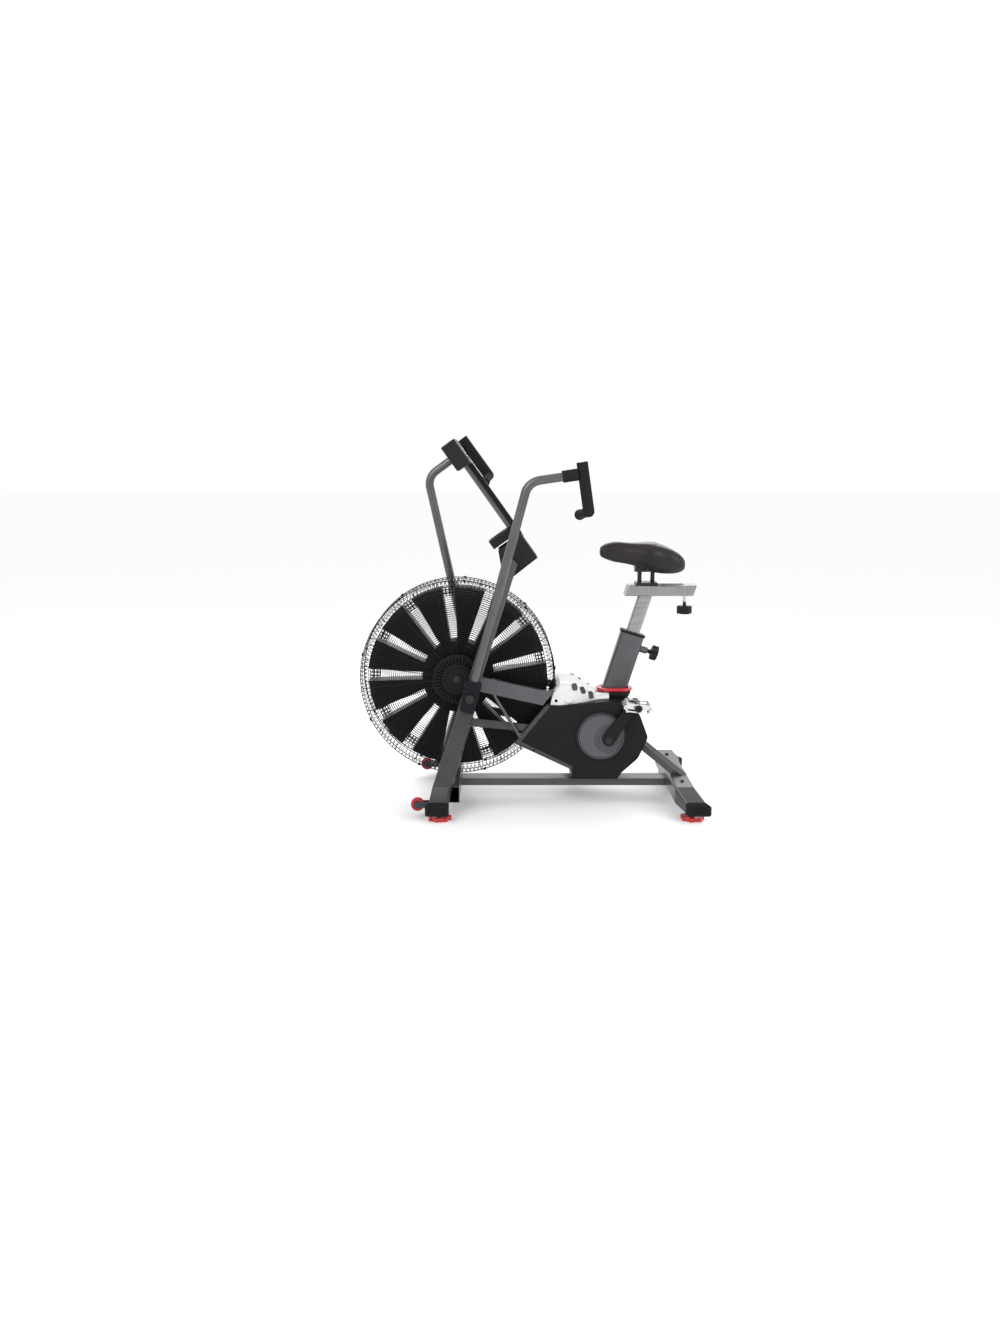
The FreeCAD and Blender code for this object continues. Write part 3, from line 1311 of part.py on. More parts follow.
def carriage():
    """The block that slides on the slider: its tongue runs in the slot, and two posts and a
    clamp carry the saddle."""
    plate = Part.makeBox(78, 76, 9, Vector(saddle_x - 39, -38, slider_top + carriage_gap))
    tongue = Part.makeBox(tongue_length, size("slot_width") - 2, 18,
                          Vector(saddle_x - tongue_length / 2, 1 - size("slot_width") / 2, slider_top - 14))
    shoe = Part.makeBox(tongue_length, 40, 6, Vector(saddle_x - tongue_length / 2, -20, slider_top - 16))
    clamp = Part.makeBox(86, 46, 26, Vector(saddle_x - 43, -23, saddle_floor + 2))
    posts = [Part.makeCylinder(8, saddle_floor - slider_top + 4, Vector(saddle_x + back, 0, slider_top + 2))
             for back in (-24, 24)]
    body = plate.fuse([tongue, shoe, clamp] + posts).removeSplitter()
    return free_shape(body.cut(padded.translated(Z * -carriage_gap)))


node(carriage(), "saddle_carriage")


def knob(start, along, stem_radius, stem, head):
    """A lobed clamping knob on a stem."""
    pieces = [rod(stem_radius, stem + 4, start, along), rod(size("knob_radius") - 6, head,
                                                            start + along * stem, along)]
    for lobe in range(6):
        turn = Rotation(along, 60 * lobe)
        side_way = Rotation(Z, along).multVec(X)
        out = turn.multVec(side_way) * (size("knob_radius") - 9)
        pieces.append(rod(9, head - 2, start + out + along * (stem + 1), along))
    return fused(*pieces)


pin_start = knob_seat + seat_back * (size("post_depth") / 2 + 1)
pin_stem = tube_depth / 2 + 28 - size("post_depth") / 2 + 14
node(knob(pin_start, seat_back, 8.0, pin_stem, 26), "height_knob")
slider_knob_start = Vector(slider_knob_x, 0, slider_z + size("slider_wall") + 4)
node(knob(slider_knob_start, -Z, 6.0, size("slider_wall") + 44, 30), "slider_knob")


# ---------------------------------------------------------------- check and write

doc.recompute()
for thing in doc.Objects:
    if "Invalid" in thing.State or "Error" in thing.State:
        raise RuntimeError(f"{thing.Label} failed: {thing.State}")
os.makedirs("parts", exist_ok=True)
for piece in nodes:
    if piece.Shape.isNull() or not piece.Shape.isValid():
        raise RuntimeError(f"{piece.Label} has no valid shape")
    piece.Shape.exportStep(f"parts/{piece.Label}.step")
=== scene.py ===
import json
import math

import bmesh
import bpy
from mathutils import Matrix, Vector
from mathutils.bvhtree import BVHTree


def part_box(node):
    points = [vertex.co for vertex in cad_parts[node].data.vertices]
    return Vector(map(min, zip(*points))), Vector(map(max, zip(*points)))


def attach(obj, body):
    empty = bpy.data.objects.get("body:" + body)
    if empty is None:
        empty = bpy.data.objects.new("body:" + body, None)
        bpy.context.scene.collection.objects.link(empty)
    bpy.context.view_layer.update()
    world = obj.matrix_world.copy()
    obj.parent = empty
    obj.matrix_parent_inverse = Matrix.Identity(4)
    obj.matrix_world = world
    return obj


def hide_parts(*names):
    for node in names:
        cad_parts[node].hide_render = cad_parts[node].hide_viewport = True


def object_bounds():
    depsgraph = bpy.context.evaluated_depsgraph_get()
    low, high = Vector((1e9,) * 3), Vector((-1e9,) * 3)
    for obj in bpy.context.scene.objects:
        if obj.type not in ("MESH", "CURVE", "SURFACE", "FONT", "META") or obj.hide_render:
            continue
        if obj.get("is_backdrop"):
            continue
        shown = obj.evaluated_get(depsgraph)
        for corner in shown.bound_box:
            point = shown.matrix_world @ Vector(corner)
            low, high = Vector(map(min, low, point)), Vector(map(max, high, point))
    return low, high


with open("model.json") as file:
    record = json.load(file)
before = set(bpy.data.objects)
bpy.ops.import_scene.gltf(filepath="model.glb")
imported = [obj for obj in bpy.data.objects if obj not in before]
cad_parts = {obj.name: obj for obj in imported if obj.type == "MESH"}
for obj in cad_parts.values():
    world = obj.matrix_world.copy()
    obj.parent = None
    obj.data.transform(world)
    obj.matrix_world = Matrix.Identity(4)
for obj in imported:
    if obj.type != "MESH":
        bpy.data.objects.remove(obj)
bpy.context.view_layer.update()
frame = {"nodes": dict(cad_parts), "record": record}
nodes = frame["nodes"]
record = frame["record"]
body_of = {name: body for body, members in record["behaviour"]["bodies"].items() for name in members}
slot_of = {part["node"]: part["material_slot"] for part in record["subparts"]}


# ---------------------------------------------------------------- welded frame
# Bent and box steel tubes, welded and sprayed in a dark metallic grey with a fine flake. The
# edges are rounded where the tube was rolled, with a painted highlight that lightens the colour there.

def finish(name, dark, light, roughness, metallic=0.0, grain=900.0, bump=0.12, edge=0.0012,
           painted_edge_highlight=0.0, stretch=(1, 1, 1), coat=0.0, specular=0.5):
    """A surface with grain, slight colour variation, uneven gloss, softened edges and, where asked, a painted
    highlight on rounded edges.
    """
    surface = bpy.data.materials.new(name)
    surface.use_nodes = True
    tree = surface.node_tree
    make, join = tree.nodes.new, tree.links.new
    shader = tree.nodes["Principled BSDF"]
    shader.inputs["Metallic"].default_value = metallic
    shader.inputs["Coat Weight"].default_value = coat
    shader.inputs["Specular IOR Level"].default_value = specular
    shader.inputs["Coat Roughness"].default_value = 0.12
    place = make("ShaderNodeTexCoord")
    turn = make("ShaderNodeMapping")
    turn.inputs["Scale"].default_value = stretch
    join(place.outputs["Object"], turn.inputs["Vector"])
    fine = make("ShaderNodeTexNoise")
    fine.inputs["Scale"].default_value = grain
    fine.inputs["Detail"].default_value = 3
    join(turn.outputs["Vector"], fine.inputs["Vector"])
    broad = make("ShaderNodeTexNoise")
    broad.inputs["Scale"].default_value = 14
    broad.inputs["Detail"].default_value = 4
    join(turn.outputs["Vector"], broad.inputs["Vector"])
    both = make("ShaderNodeMath")
    both.operation = "MULTIPLY_ADD"
    both.inputs[1].default_value = 0.5
    join(fine.outputs["Fac"], both.inputs[0])
    half = make("ShaderNodeMath")
    half.operation = "MULTIPLY"
    half.inputs[1].default_value = 0.5
    join(broad.outputs["Fac"], half.inputs[0])
    join(half.outputs["Value"], both.inputs[2])
    ramp = make("ShaderNodeValToRGB")
    ramp.color_ramp.elements[0].position = 0.32
    ramp.color_ramp.elements[0].color = (*dark, 1)
    ramp.color_ramp.elements[1].position = 0.68
    ramp.color_ramp.elements[1].color = (*light, 1)
    join(both.outputs["Value"], ramp.inputs["Fac"])
    gloss = make("ShaderNodeMapRange")
    gloss.inputs["To Min"].default_value = max(roughness - 0.07, 0.03)
    gloss.inputs["To Max"].default_value = roughness + 0.09
    join(broad.outputs["Fac"], gloss.inputs["Value"])
    join(gloss.outputs["Result"], shader.inputs["Roughness"])
    rounded = make("ShaderNodeBevel")
    rounded.samples = 4
    rounded.inputs["Radius"].default_value = edge
    relief = make("ShaderNodeBump")
    relief.inputs["Strength"].default_value = bump
    relief.inputs["Distance"].default_value = 0.0004
    join(fine.outputs["Fac"], relief.inputs["Height"])
    join(rounded.outputs["Normal"], relief.inputs["Normal"])
    join(relief.outputs["Normal"], shader.inputs["Normal"])
    colour = ramp.outputs["Color"]
    # Painted highlight: rounded edges get a lighter colour that stands for the light they catch.
    if painted_edge_highlight:
        facing = make("ShaderNodeNewGeometry")
        turned = make("ShaderNodeVectorMath")
        turned.operation = "DOT_PRODUCT"
        join(rounded.outputs["Normal"], turned.inputs[0])
        join(facing.outputs["True Normal"], turned.inputs[1])
        edge_highlight_mask = make("ShaderNodeMapRange")
        edge_highlight_mask.inputs["From Min"].default_value = 0.97
        edge_highlight_mask.inputs["From Max"].default_value = 0.80
        edge_highlight_mask.inputs["To Max"].default_value = painted_edge_highlight
        join(turned.outputs["Value"], edge_highlight_mask.inputs["Value"])
        highlighted_colour = make("ShaderNodeMix")
        highlighted_colour.data_type = "RGBA"
        highlighted_colour.inputs["B"].default_value = (*[min(c * 2.6 + 0.03, 1) for c in light], 1)
        join(edge_highlight_mask.outputs["Result"], highlighted_colour.inputs["Factor"])
        join(colour, highlighted_colour.inputs["A"])
        colour = highlighted_colour.outputs["Result"]
    join(colour, shader.inputs["Base Color"])
    return surface


def settle(piece, body, slot, *replaced):
    """Put a finished piece on its body and hide the plain solids it stands for. The slot is not used."""
    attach(piece, body)
    if replaced:
        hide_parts(*replaced)


def shade(mesh, sharp=34):
    """Smooth shading that stays crisp at edges steeper than an angle in degrees."""
    mesh.polygons.foreach_set("use_smooth", [True] * len(mesh.polygons))
    mesh.set_sharp_from_angle(angle=math.radians(sharp))


def refine(name, surface, width):
    """A plain solid's surface with rolled edges and smooth rounds, in place of the solid."""
    work = bmesh.new()
    work.from_mesh(nodes[name].data)
    bmesh.ops.remove_doubles(work, verts=work.verts, dist=0.00001)
    bmesh.ops.dissolve_limit(work, angle_limit=math.radians(0.4), verts=work.verts, edges=work.edges)
    mesh = bpy.data.meshes.new(name + "_skin")
    work.to_mesh(mesh)
    work.free()
    shade(mesh)
    mesh.materials.append(surface)
    piece = bpy.data.objects.new(name + "_skin", mesh)
    bpy.context.scene.collection.objects.link(piece)
    if width:
        rolled = piece.modifiers.new("rolled_edges", "BEVEL")
        rolled.width = width
        rolled.segments = 2
        rolled.limit_method = "ANGLE"
        rolled.angle_limit = math.radians(42)
        rolled.miter_outer = "MITER_ARC"
        rolled.harden_normals = False
    even = piece.modifiers.new("even_shading", "WEIGHTED_NORMAL")
    even.keep_sharp = True
    settle(piece, body_of[name], slot_of[name], name)


frame_paint = finish("metallic_grey_paint", (0.066, 0.068, 0.073), (0.098, 0.100, 0.106), 0.36,
                     metallic=0.65, grain=1400, bump=0.08, painted_edge_highlight=0.35, coat=0.25)
leg_paint = finish("charcoal_paint", (0.034, 0.035, 0.038), (0.052, 0.053, 0.057), 0.38, metallic=0.6,
                   grain=1400, bump=0.08, painted_edge_highlight=0.35, coat=0.2)
refine("front_legs", leg_paint, 0.0014)
for name in ("rear_stabiliser", "front_crossmember", "base_rail", "mast_fork",
             "side_beams", "frame_spine", "seat_tube", "rear_brace"):
    refine(name, frame_paint, 0.0014)


# ---------------------------------------------------------------- feet
# Black plugs close the folded tube ends. Red moulded levelling feet screw in below them, and two
# red rubber wheels at the front are for tipping and rolling the bike.

black_moulding = finish("black_moulding", (0.007, 0.007, 0.008), (0.013, 0.013, 0.014), 0.42,
                        grain=700, bump=0.2, painted_edge_highlight=0.25, specular=0.1)
red_moulding = finish("red_moulding", (0.38, 0.005, 0.010), (0.50, 0.009, 0.016), 0.26, grain=300,
                      bump=0.05, coat=0.4)
red_rubber = finish("red_rubber", (0.34, 0.010, 0.016), (0.45, 0.016, 0.024), 0.55, grain=600, bump=0.3)
refine("end_caps", black_moulding, 0.002)
for end in ("front", "rear"):
    for side in ("left", "right"):
        refine(f"{end}_{side}_levelling_foot", red_moulding, 0.0016)


def new_piece(name, work, surface, body, slot, replaced=(), sharp=34, bevel=0.0, turn_out=True):
    """A finished mesh as an object of the bike, with outward faces."""
    if turn_out:
        bmesh.ops.recalc_face_normals(work, faces=work.faces)
    mesh = bpy.data.meshes.new(name)
    work.to_mesh(mesh)
    work.free()
    shade(mesh, sharp)
    for one in (surface if isinstance(surface, (list, tuple)) else [surface]):
        mesh.materials.append(one)
    piece = bpy.data.objects.new(name, mesh)
    bpy.context.scene.collection.objects.link(piece)
    if bevel:
        rolled = piece.modifiers.new("rolled_edges", "BEVEL")
        rolled.width = bevel
        rolled.segments = 2
        rolled.limit_method = "ANGLE"
        rolled.angle_limit = math.radians(40)
    settle(piece, body, slot, *replaced)
    return piece


def along(direction, middle):
    """The transform that stands a shape made along Z on a direction, at a place."""
    return Matrix.Translation(middle) @ Vector(direction).to_track_quat("Z", "Y").to_matrix().to_4x4()


def add_rod(work, radius, start, end, sides):
    """A straight round rod between two places."""
    start, end = Vector(start), Vector(end)
    bmesh.ops.create_cone(work, cap_ends=True, segments=sides, radius1=radius, radius2=radius,
                          depth=(end - start).length, matrix=along(end - start, (start + end) / 2))


def add_box(work, place, length, width, height):
    """A box of a given size, set on a transform by its middle."""
    verts = bmesh.ops.create_cube(work, size=1.0)["verts"]
    bmesh.ops.transform(work, matrix=place @ Matrix.Diagonal((length, width, height, 1)), verts=verts)
    return verts


def add_ring(work, middle, ring_radius, wire_radius, steps=96, sides=12):
    """A round ring about a line along Y through its middle."""
    start = Matrix.Translation(middle + Vector((ring_radius, 0, 0)))
    verts = bmesh.ops.create_circle(work, segments=sides, radius=wire_radius, matrix=start)["verts"]
    edges = list({edge for vert in verts for edge in vert.link_edges})
    bmesh.ops.spin(work, geom=verts + edges, cent=middle, axis=(0, 1, 0), angle=2 * math.pi, steps=steps,
                   use_merge=True)


def thicken(work, faces, move):
    """Draw faces out into a solid."""
    grown = bmesh.ops.extrude_face_region(work, geom=faces)
    moved = [item for item in grown["geom"] if isinstance(item, bmesh.types.BMVert)]
    bmesh.ops.translate(work, verts=moved, vec=move)


def outward(turn):
    """The direction at an angle from the X axis, in the plane of the wheels."""
    return Vector((math.cos(turn), 0, math.sin(turn)))


def sideways(turn):
    """The direction square to the outward one, in the same plane."""
    return Vector((-math.sin(turn), 0, math.cos(turn)))


def centre_of(name):
    """The middle of a plain solid's box."""
    low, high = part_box(name)
    return (Vector(low) + Vector(high)) / 2


grey_moulding = finish("grey_moulding", (0.022, 0.022, 0.024), (0.034, 0.034, 0.036), 0.45, grain=700,
                       bump=0.15, specular=0.3)
studs = 5
disc_share, stud_share, stud_circle_share = 0.62, 0.09, 0.42
for side in ("left", "right"):
    wheel = f"{side}_transport_wheel"
    low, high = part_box(wheel)
    middle = centre_of(wheel)
    radius = (high[2] - low[2]) / 2
    half_width = (high[1] - low[1]) / 2
    refine(wheel, red_rubber, 0.0)
    disc = bmesh.new()
    for hand in (-1, 1):
        face = middle + Vector((0, hand * half_width, 0))
        add_rod(disc, radius * disc_share, face - Vector((0, hand * 0.002, 0)),
                face + Vector((0, hand * 0.0006, 0)), 40)
        for stud in range(studs):
            out = outward(2 * math.pi * stud / studs) * radius * stud_circle_share
            add_rod(disc, radius * stud_share, face + out, face + out + Vector((0, hand * 0.0008, 0)), 12)
    new_piece(f"{side}_wheel_disc", disc, grey_moulding, body_of[wheel], "cap_plastic", bevel=0.0004)

steel = finish("zinc_steel", (0.42, 0.42, 0.43), (0.55, 0.55, 0.56), 0.28, metallic=1.0, grain=500,
               bump=0.05)
low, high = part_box("rear_stabiliser")
bolt_inset, bolt_reach = 0.0355, 0.196
washer_radius, washer_top = 0.0095, 0.0012
head_radius, head_top = 0.0060, 0.0062
bolts = bmesh.new()
for hand in (-1, 1):
    top = Vector((low[0] + bolt_inset, hand * bolt_reach, high[2]))
    add_rod(bolts, washer_radius, top - Vector((0, 0, 0.004)), top + Vector((0, 0, washer_top)), 32)
    add_rod(bolts, head_radius, top, top + Vector((0, 0, head_top)), 6)
black_steel = finish("black_steel", (0.012, 0.012, 0.013), (0.022, 0.022, 0.024), 0.34, metallic=0.5,
                     grain=600, bump=0.08)
new_piece("stabiliser_bolts", bolts, black_steel, "frame", "cap_plastic", bevel=0.0006)


# ---------------------------------------------------------------- fan cage
# Two flat grilles of black-coated wire: close round wires welded to radial spokes. A zig-zag wire
# fills the edge of each grille, and straight wires join the two round the rim.

cage_low, cage_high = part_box("cage_rim")
hub = (Vector(cage_low) + Vector(cage_high)) / 2
cage_radius = (cage_high[2] - cage_low[2]) / 2
cage_half = (cage_high[1] - cage_low[1]) / 2
wire_finish = finish("black_wire", (0.005, 0.005, 0.006), (0.011, 0.011, 0.012), 0.35, metallic=0.3,
                     grain=500, bump=0.05, edge=0.0003, specular=0.3)
clip_finish = finish("clip_black", (0.006, 0.006, 0.007), (0.012, 0.012, 0.013), 0.4, grain=500, bump=0.1,
                     specular=0.1)


def round_wire(work, ring_radius, y, wire, steps=112, sides=5):
    """One round wire about the fan's axle."""
    add_ring(work, hub + Vector((0, y, 0)), ring_radius, wire, steps, sides)


inner_ring = 0.090
band_inner = 0.338
ring_pitch = 0.0078
rim_line = cage_radius - 0.002
ring_wire, spoke_wire, zigzag_wire = 0.0010, 0.0014, 0.0010
edge_wire, bar_wire, hoop_wire = 0.0017, 0.0011, 0.0014
spokes, teeth, bars = 26, 150, 150
for hand, side in ((-1, "left"), (1, "right")):
    y = hand * (cage_half - 0.002)
    grille = bmesh.new()
    ring_radius = inner_ring
    while ring_radius < band_inner + 0.001:
        round_wire(grille, ring_radius, y, ring_wire)
        ring_radius += ring_pitch
    round_wire(grille, cage_radius - 0.0018, y, edge_wire, 128, 6)
    spoke_line = hub + Vector((0, y - hand * 0.002, 0))
    for spoke in range(spokes):
        out = outward(2 * math.pi * (spoke + 0.5) / spokes)
        add_rod(grille, spoke_wire, spoke_line + out * (inner_ring - 0.004), spoke_line + out * rim_line, 6)
    for tooth in range(teeth):
        ends = [hub + Vector((0, y, 0)) + outward(2 * math.pi * (tooth + step) / teeth) * reach
                for step, reach in ((0, band_inner), (0.5, rim_line), (1, band_inner))]
        add_rod(grille, zigzag_wire, ends[0], ends[1], 4)
        add_rod(grille, zigzag_wire, ends[1], ends[2], 4)
    new_piece(f"cage_{side}_wires", grille, wire_finish, "frame", "wire", sharp=60,
              replaced=("cage_grilles",) if hand < 0 else ())
rim = bmesh.new()
bar_reach = Vector((0, cage_half - 0.003, 0))
for bar in range(bars):
    out = hub + outward(2 * math.pi * (bar + 0.5) / bars) * rim_line
    add_rod(rim, bar_wire, out - bar_reach, out + bar_reach, 4)
for share in (-0.5, 0.5):
    round_wire(rim, cage_radius - 0.0042, share * cage_half, hoop_wire, 128, 6)
new_piece("cage_rim_wires", rim, wire_finish, "frame", "wire", replaced=("cage_rim",), sharp=60)
clips = bmesh.new()
clip_count = 9
first_clip = math.radians(6)
clip_size = (0.007, 0.010, 0.012)
for clip in range(clip_count):
    turn = first_clip + 2 * math.pi * clip / clip_count
    for hand in (-1, 1):
        middle = hub + outward(turn) * (cage_radius - 0.001) + Vector((0, hand * (cage_half - 0.004), 0))
        add_box(clips, Matrix.Translation(middle) @ Matrix.Rotation(-turn, 4, "Y"), *clip_size)
new_piece("cage_clips", clips, clip_finish, "frame", "wire", bevel=0.0012)


# ---------------------------------------------------------------- fan wheel
# Thirteen closed wedges stand round a drum, in place of the plain wheel's folded sheets. Their
# sides are painted light grey in the gaps, a painted highlight. Perforated strips close the outer ends of the
# gaps.

fan_black = finish("fan_black", (0.004, 0.004, 0.005), (0.009, 0.009, 0.010), 0.5, grain=350, bump=0.1,
                   specular=0.08)
# Painted highlight: a light grey on the wedges' sides stands for the light they catch; the blades themselves
# are black.
side_painted_highlight = finish("fan_fold_grey", (0.13, 0.13, 0.135), (0.19, 0.19, 0.195), 0.42, metallic=0.2,
                   grain=350, bump=0.1)
blades = 13
blade_half_depth = 0.040
gap_angle = math.radians(96)
pitch = 2 * math.pi / blades
root, tip = 0.118, 0.334
gap_root, gap_tip = 0.013, 0.023
drum_radius = 0.134
drum_depth = 2 * blade_half_depth + 0.004
front = Vector((0, -blade_half_depth, 0))
fan = bmesh.new()
for blade in range(blades):
    start = gap_angle + blade * pitch
    corners = []
    for turn, sign in ((start, 1), (start + pitch, -1)):
        out, across = outward(turn), sideways(turn) * sign
        corners.append((out * root + across * gap_root, out * tip + across * gap_tip))
    middle = outward(start + pitch / 2) * (tip + 0.001)
    outline = [corners[0][0], corners[0][1], middle, corners[1][1], corners[1][0]]
    face = fan.faces.new([fan.verts.new(hub + point + front) for point in outline])
    thicken(fan, [face], (0, 2 * blade_half_depth, 0))
bmesh.ops.recalc_face_normals(fan, faces=fan.faces)
# Faces turned sideways across the gaps take the painted-highlight grey; the rest stay black.
for face in fan.faces:
    middle = face.calc_center_median() - hub
    radial = Vector((middle.x, 0, middle.z)).normalized()
    flat = abs(face.normal.y) > 0.5 or abs(face.normal.dot(radial)) > 0.6
    face.material_index = 0 if flat else 1
bmesh.ops.create_cone(fan, cap_ends=True, segments=72, radius1=drum_radius, radius2=drum_radius,
                      depth=drum_depth, matrix=along((0, 1, 0), hub))
new_piece("fan_blades", fan, [fan_black, side_painted_highlight], "fan", "fan_black", replaced=("fan_wheel",),
          bevel=0.0012)

patches = bmesh.new()
patch_inner, patch_outer = 0.296, 0.333
patch_half_width = 0.026
patch_y = 0.020
patch_web, patch_sheet = 0.0034, 0.0014
for blade in range(blades):
    turn = gap_angle + blade * pitch
    made = bmesh.ops.create_grid(patches, x_segments=4, y_segments=3, size=1.0)
    for vert in made["verts"]:
        across, reach = vert.co.x, vert.co.y
        distance = (patch_inner + patch_outer) / 2 + reach * (patch_outer - patch_inner) / 2
        vert.co = (hub + outward(turn) * distance + sideways(turn) * across * patch_half_width
                   + Vector((0, patch_y, 0)))
holes = bmesh.ops.inset_individual(patches, faces=patches.faces[:], thickness=patch_web, depth=0)
solid_faces = set(holes["faces"])
inner = [face for face in patches.faces if face not in solid_faces]
bmesh.ops.delete(patches, geom=inner, context="FACES_ONLY")
plate = new_piece("fan_perforated_strips", patches, fan_black, "fan", "fan_black", turn_out=False)
thick = plate.modifiers.new("sheet", "SOLIDIFY")
thick.thickness = patch_sheet
thick.offset = 0


# ---------------------------------------------------------------- fan hub and belt
# Dished black covers with a ring of slots hold the fan's axle. A smooth rubber belt runs from the
# crank's pulley to the small pulley beside the fan.

hub_black = finish("hub_cover_black", (0.007, 0.007, 0.008), (0.013, 0.013, 0.014), 0.4, grain=650, bump=0.2,
                   painted_edge_highlight=0.3, specular=0.1)
refine("hub_covers", hub_black, 0.001)
refine("fan_axle", black_steel, 0.0008)
refine("fan_hub", fan_black, 0.0008)
low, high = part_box("hub_covers")
for hand, side in ((-1, "left"), (1, "right")):
    badge = bmesh.new()
    face_y = low[1] if hand < 0 else high[1]
    for ring_radius, tube in ((0.086, 0.0035), (0.045, 0.0022)):
        add_ring(badge, Vector((hub.x, face_y, hub.z)), ring_radius, tube)
    new_piece(f"hub_{side}_rings", badge, hub_black, "frame", "cap_plastic", sharp=60)
belt_rubber = finish("belt_rubber", (0.006, 0.006, 0.006), (0.012, 0.012, 0.012), 0.6, grain=500, bump=0.3,
                     stretch=(1, 6, 1))
refine("drive_belt", belt_rubber, 0.0004)


# ---------------------------------------------------------------- mast, holder and console
# A round mast leans forward to a boxy console that faces the rider. A dark cover clips on the
# mast's rear, and an open holder with a ring above it wraps the mast's knee.

refine("mast_post", frame_paint, 0.0)
refine("mast_back_cover", black_moulding, 0.002)
box_black = finish("box_black", (0.012, 0.012, 0.014), (0.021, 0.021, 0.023), 0.48, grain=900, bump=0.35,
                   painted_edge_highlight=0.3, specular=0.12)
refine("bottle_holder", box_black, 0.002)
refine("console_housing", box_black, 0.003)
tilt = math.radians(-35.6)
screen_place = Matrix.Translation(centre_of("console_screen")) @ Matrix.Rotation(tilt, 4, "Y")
screen_finish = finish("display_window", (0.030, 0.040, 0.038), (0.045, 0.058, 0.054), 0.08, grain=90,
                       bump=0.0, coat=0.6)
refine("console_screen", screen_finish, 0.0)
digit_finish = finish("display_segments", (0.004, 0.005, 0.005), (0.008, 0.009, 0.009), 0.3, grain=200,
                      bump=0.0)


def on_screen(work, up, across, height, width, base=0.0015, proud=0.0004):
    """A flat bar on the display, placed from the display's middle."""
    add_box(work, screen_place @ Matrix.Translation(Vector((base + proud / 2, across, up))),
            proud, width, height)


digit_rows = (0.012, -0.013)
first_digit, digit_pitch, digit_count = -0.056, 0.036, 4
stroke = 0.0016
digits = bmesh.new()
for row_up in digit_rows:
    for digit in range(digit_count):
        middle_y = first_digit + digit * digit_pitch
        for bar in (0.009, 0.0, -0.009):
            on_screen(digits, row_up + bar, middle_y, stroke, 0.010)
        for hand in (-1, 1):
            for half in (-1, 1):
                on_screen(digits, row_up + half * 0.0046, middle_y + hand * 0.0062, 0.0068, stroke)
new_piece("display_digits", digits, digit_finish, "frame", "screen_glass")
bezel_bar = 0.003
bezel = bmesh.new()
for up, across, height, width in ((0.0295, 0, bezel_bar, 0.180), (-0.0295, 0, bezel_bar, 0.180),
                                  (0, 0.0885, 0.062, bezel_bar), (0, -0.0885, 0.062, bezel_bar)):
    on_screen(bezel, up, across, height, width, base=0.003, proud=bezel_bar)
silver_trim = finish("silver_trim", (0.45, 0.45, 0.46), (0.60, 0.60, 0.61), 0.25, metallic=0.9, grain=400,
                     bump=0.04)
new_piece("display_bezel", bezel, silver_trim, "frame", "screen_glass", bevel=0.0008)
button_grey = finish("button_grey", (0.10, 0.10, 0.105), (0.16, 0.16, 0.165), 0.5, grain=500, bump=0.15)
for name in ("start", "mode", "reset"):
    refine(f"{name}_button", button_grey, 0.001)


# ---------------------------------------------------------------- arms and grips
# Each arm is one bent tube clamped in a black cast socket on its pivot shaft. A foam-rubber grip
# crosses its end, with a short rubber sleeve below it and a second grip that points inwards.

arm_paint = finish("arm_paint", (0.076, 0.078, 0.083), (0.110, 0.112, 0.118), 0.33, metallic=0.7,
                   grain=1400, bump=0.06, coat=0.3)
cast_black = finish("cast_black", (0.008, 0.007, 0.009), (0.016, 0.014, 0.018), 0.4, metallic=0.3, grain=380,
                    bump=0.4, painted_edge_highlight=0.3, specular=0.12)
grip_rubber = finish("grip_rubber", (0.008, 0.008, 0.008), (0.017, 0.017, 0.017), 0.75, grain=1100, bump=0.7,
                     edge=0.002, specular=0.1)
rod_steel = finish("rod_steel", (0.05, 0.05, 0.052), (0.08, 0.08, 0.083), 0.38, metallic=0.8, grain=500,
                   bump=0.08, painted_edge_highlight=0.5)
for hand, side in ((-1, "left"), (1, "right")):
    refine(f"{side}_arm", arm_paint, 0.0)
    refine(f"{side}_arm_socket", cast_black, 0.0025)
    refine(f"{side}_pivot_shaft", black_steel, 0.001)
    refine(f"{side}_grip", grip_rubber, 0.007)
    refine(f"{side}_link_rod", rod_steel, 0.0012)


# ---------------------------------------------------------------- crank
# A smooth violet-grey disc turns with each crank and hides the eccentric. The black forged crank
# is bolted outside it and carries an open cage pedal of light alloy.

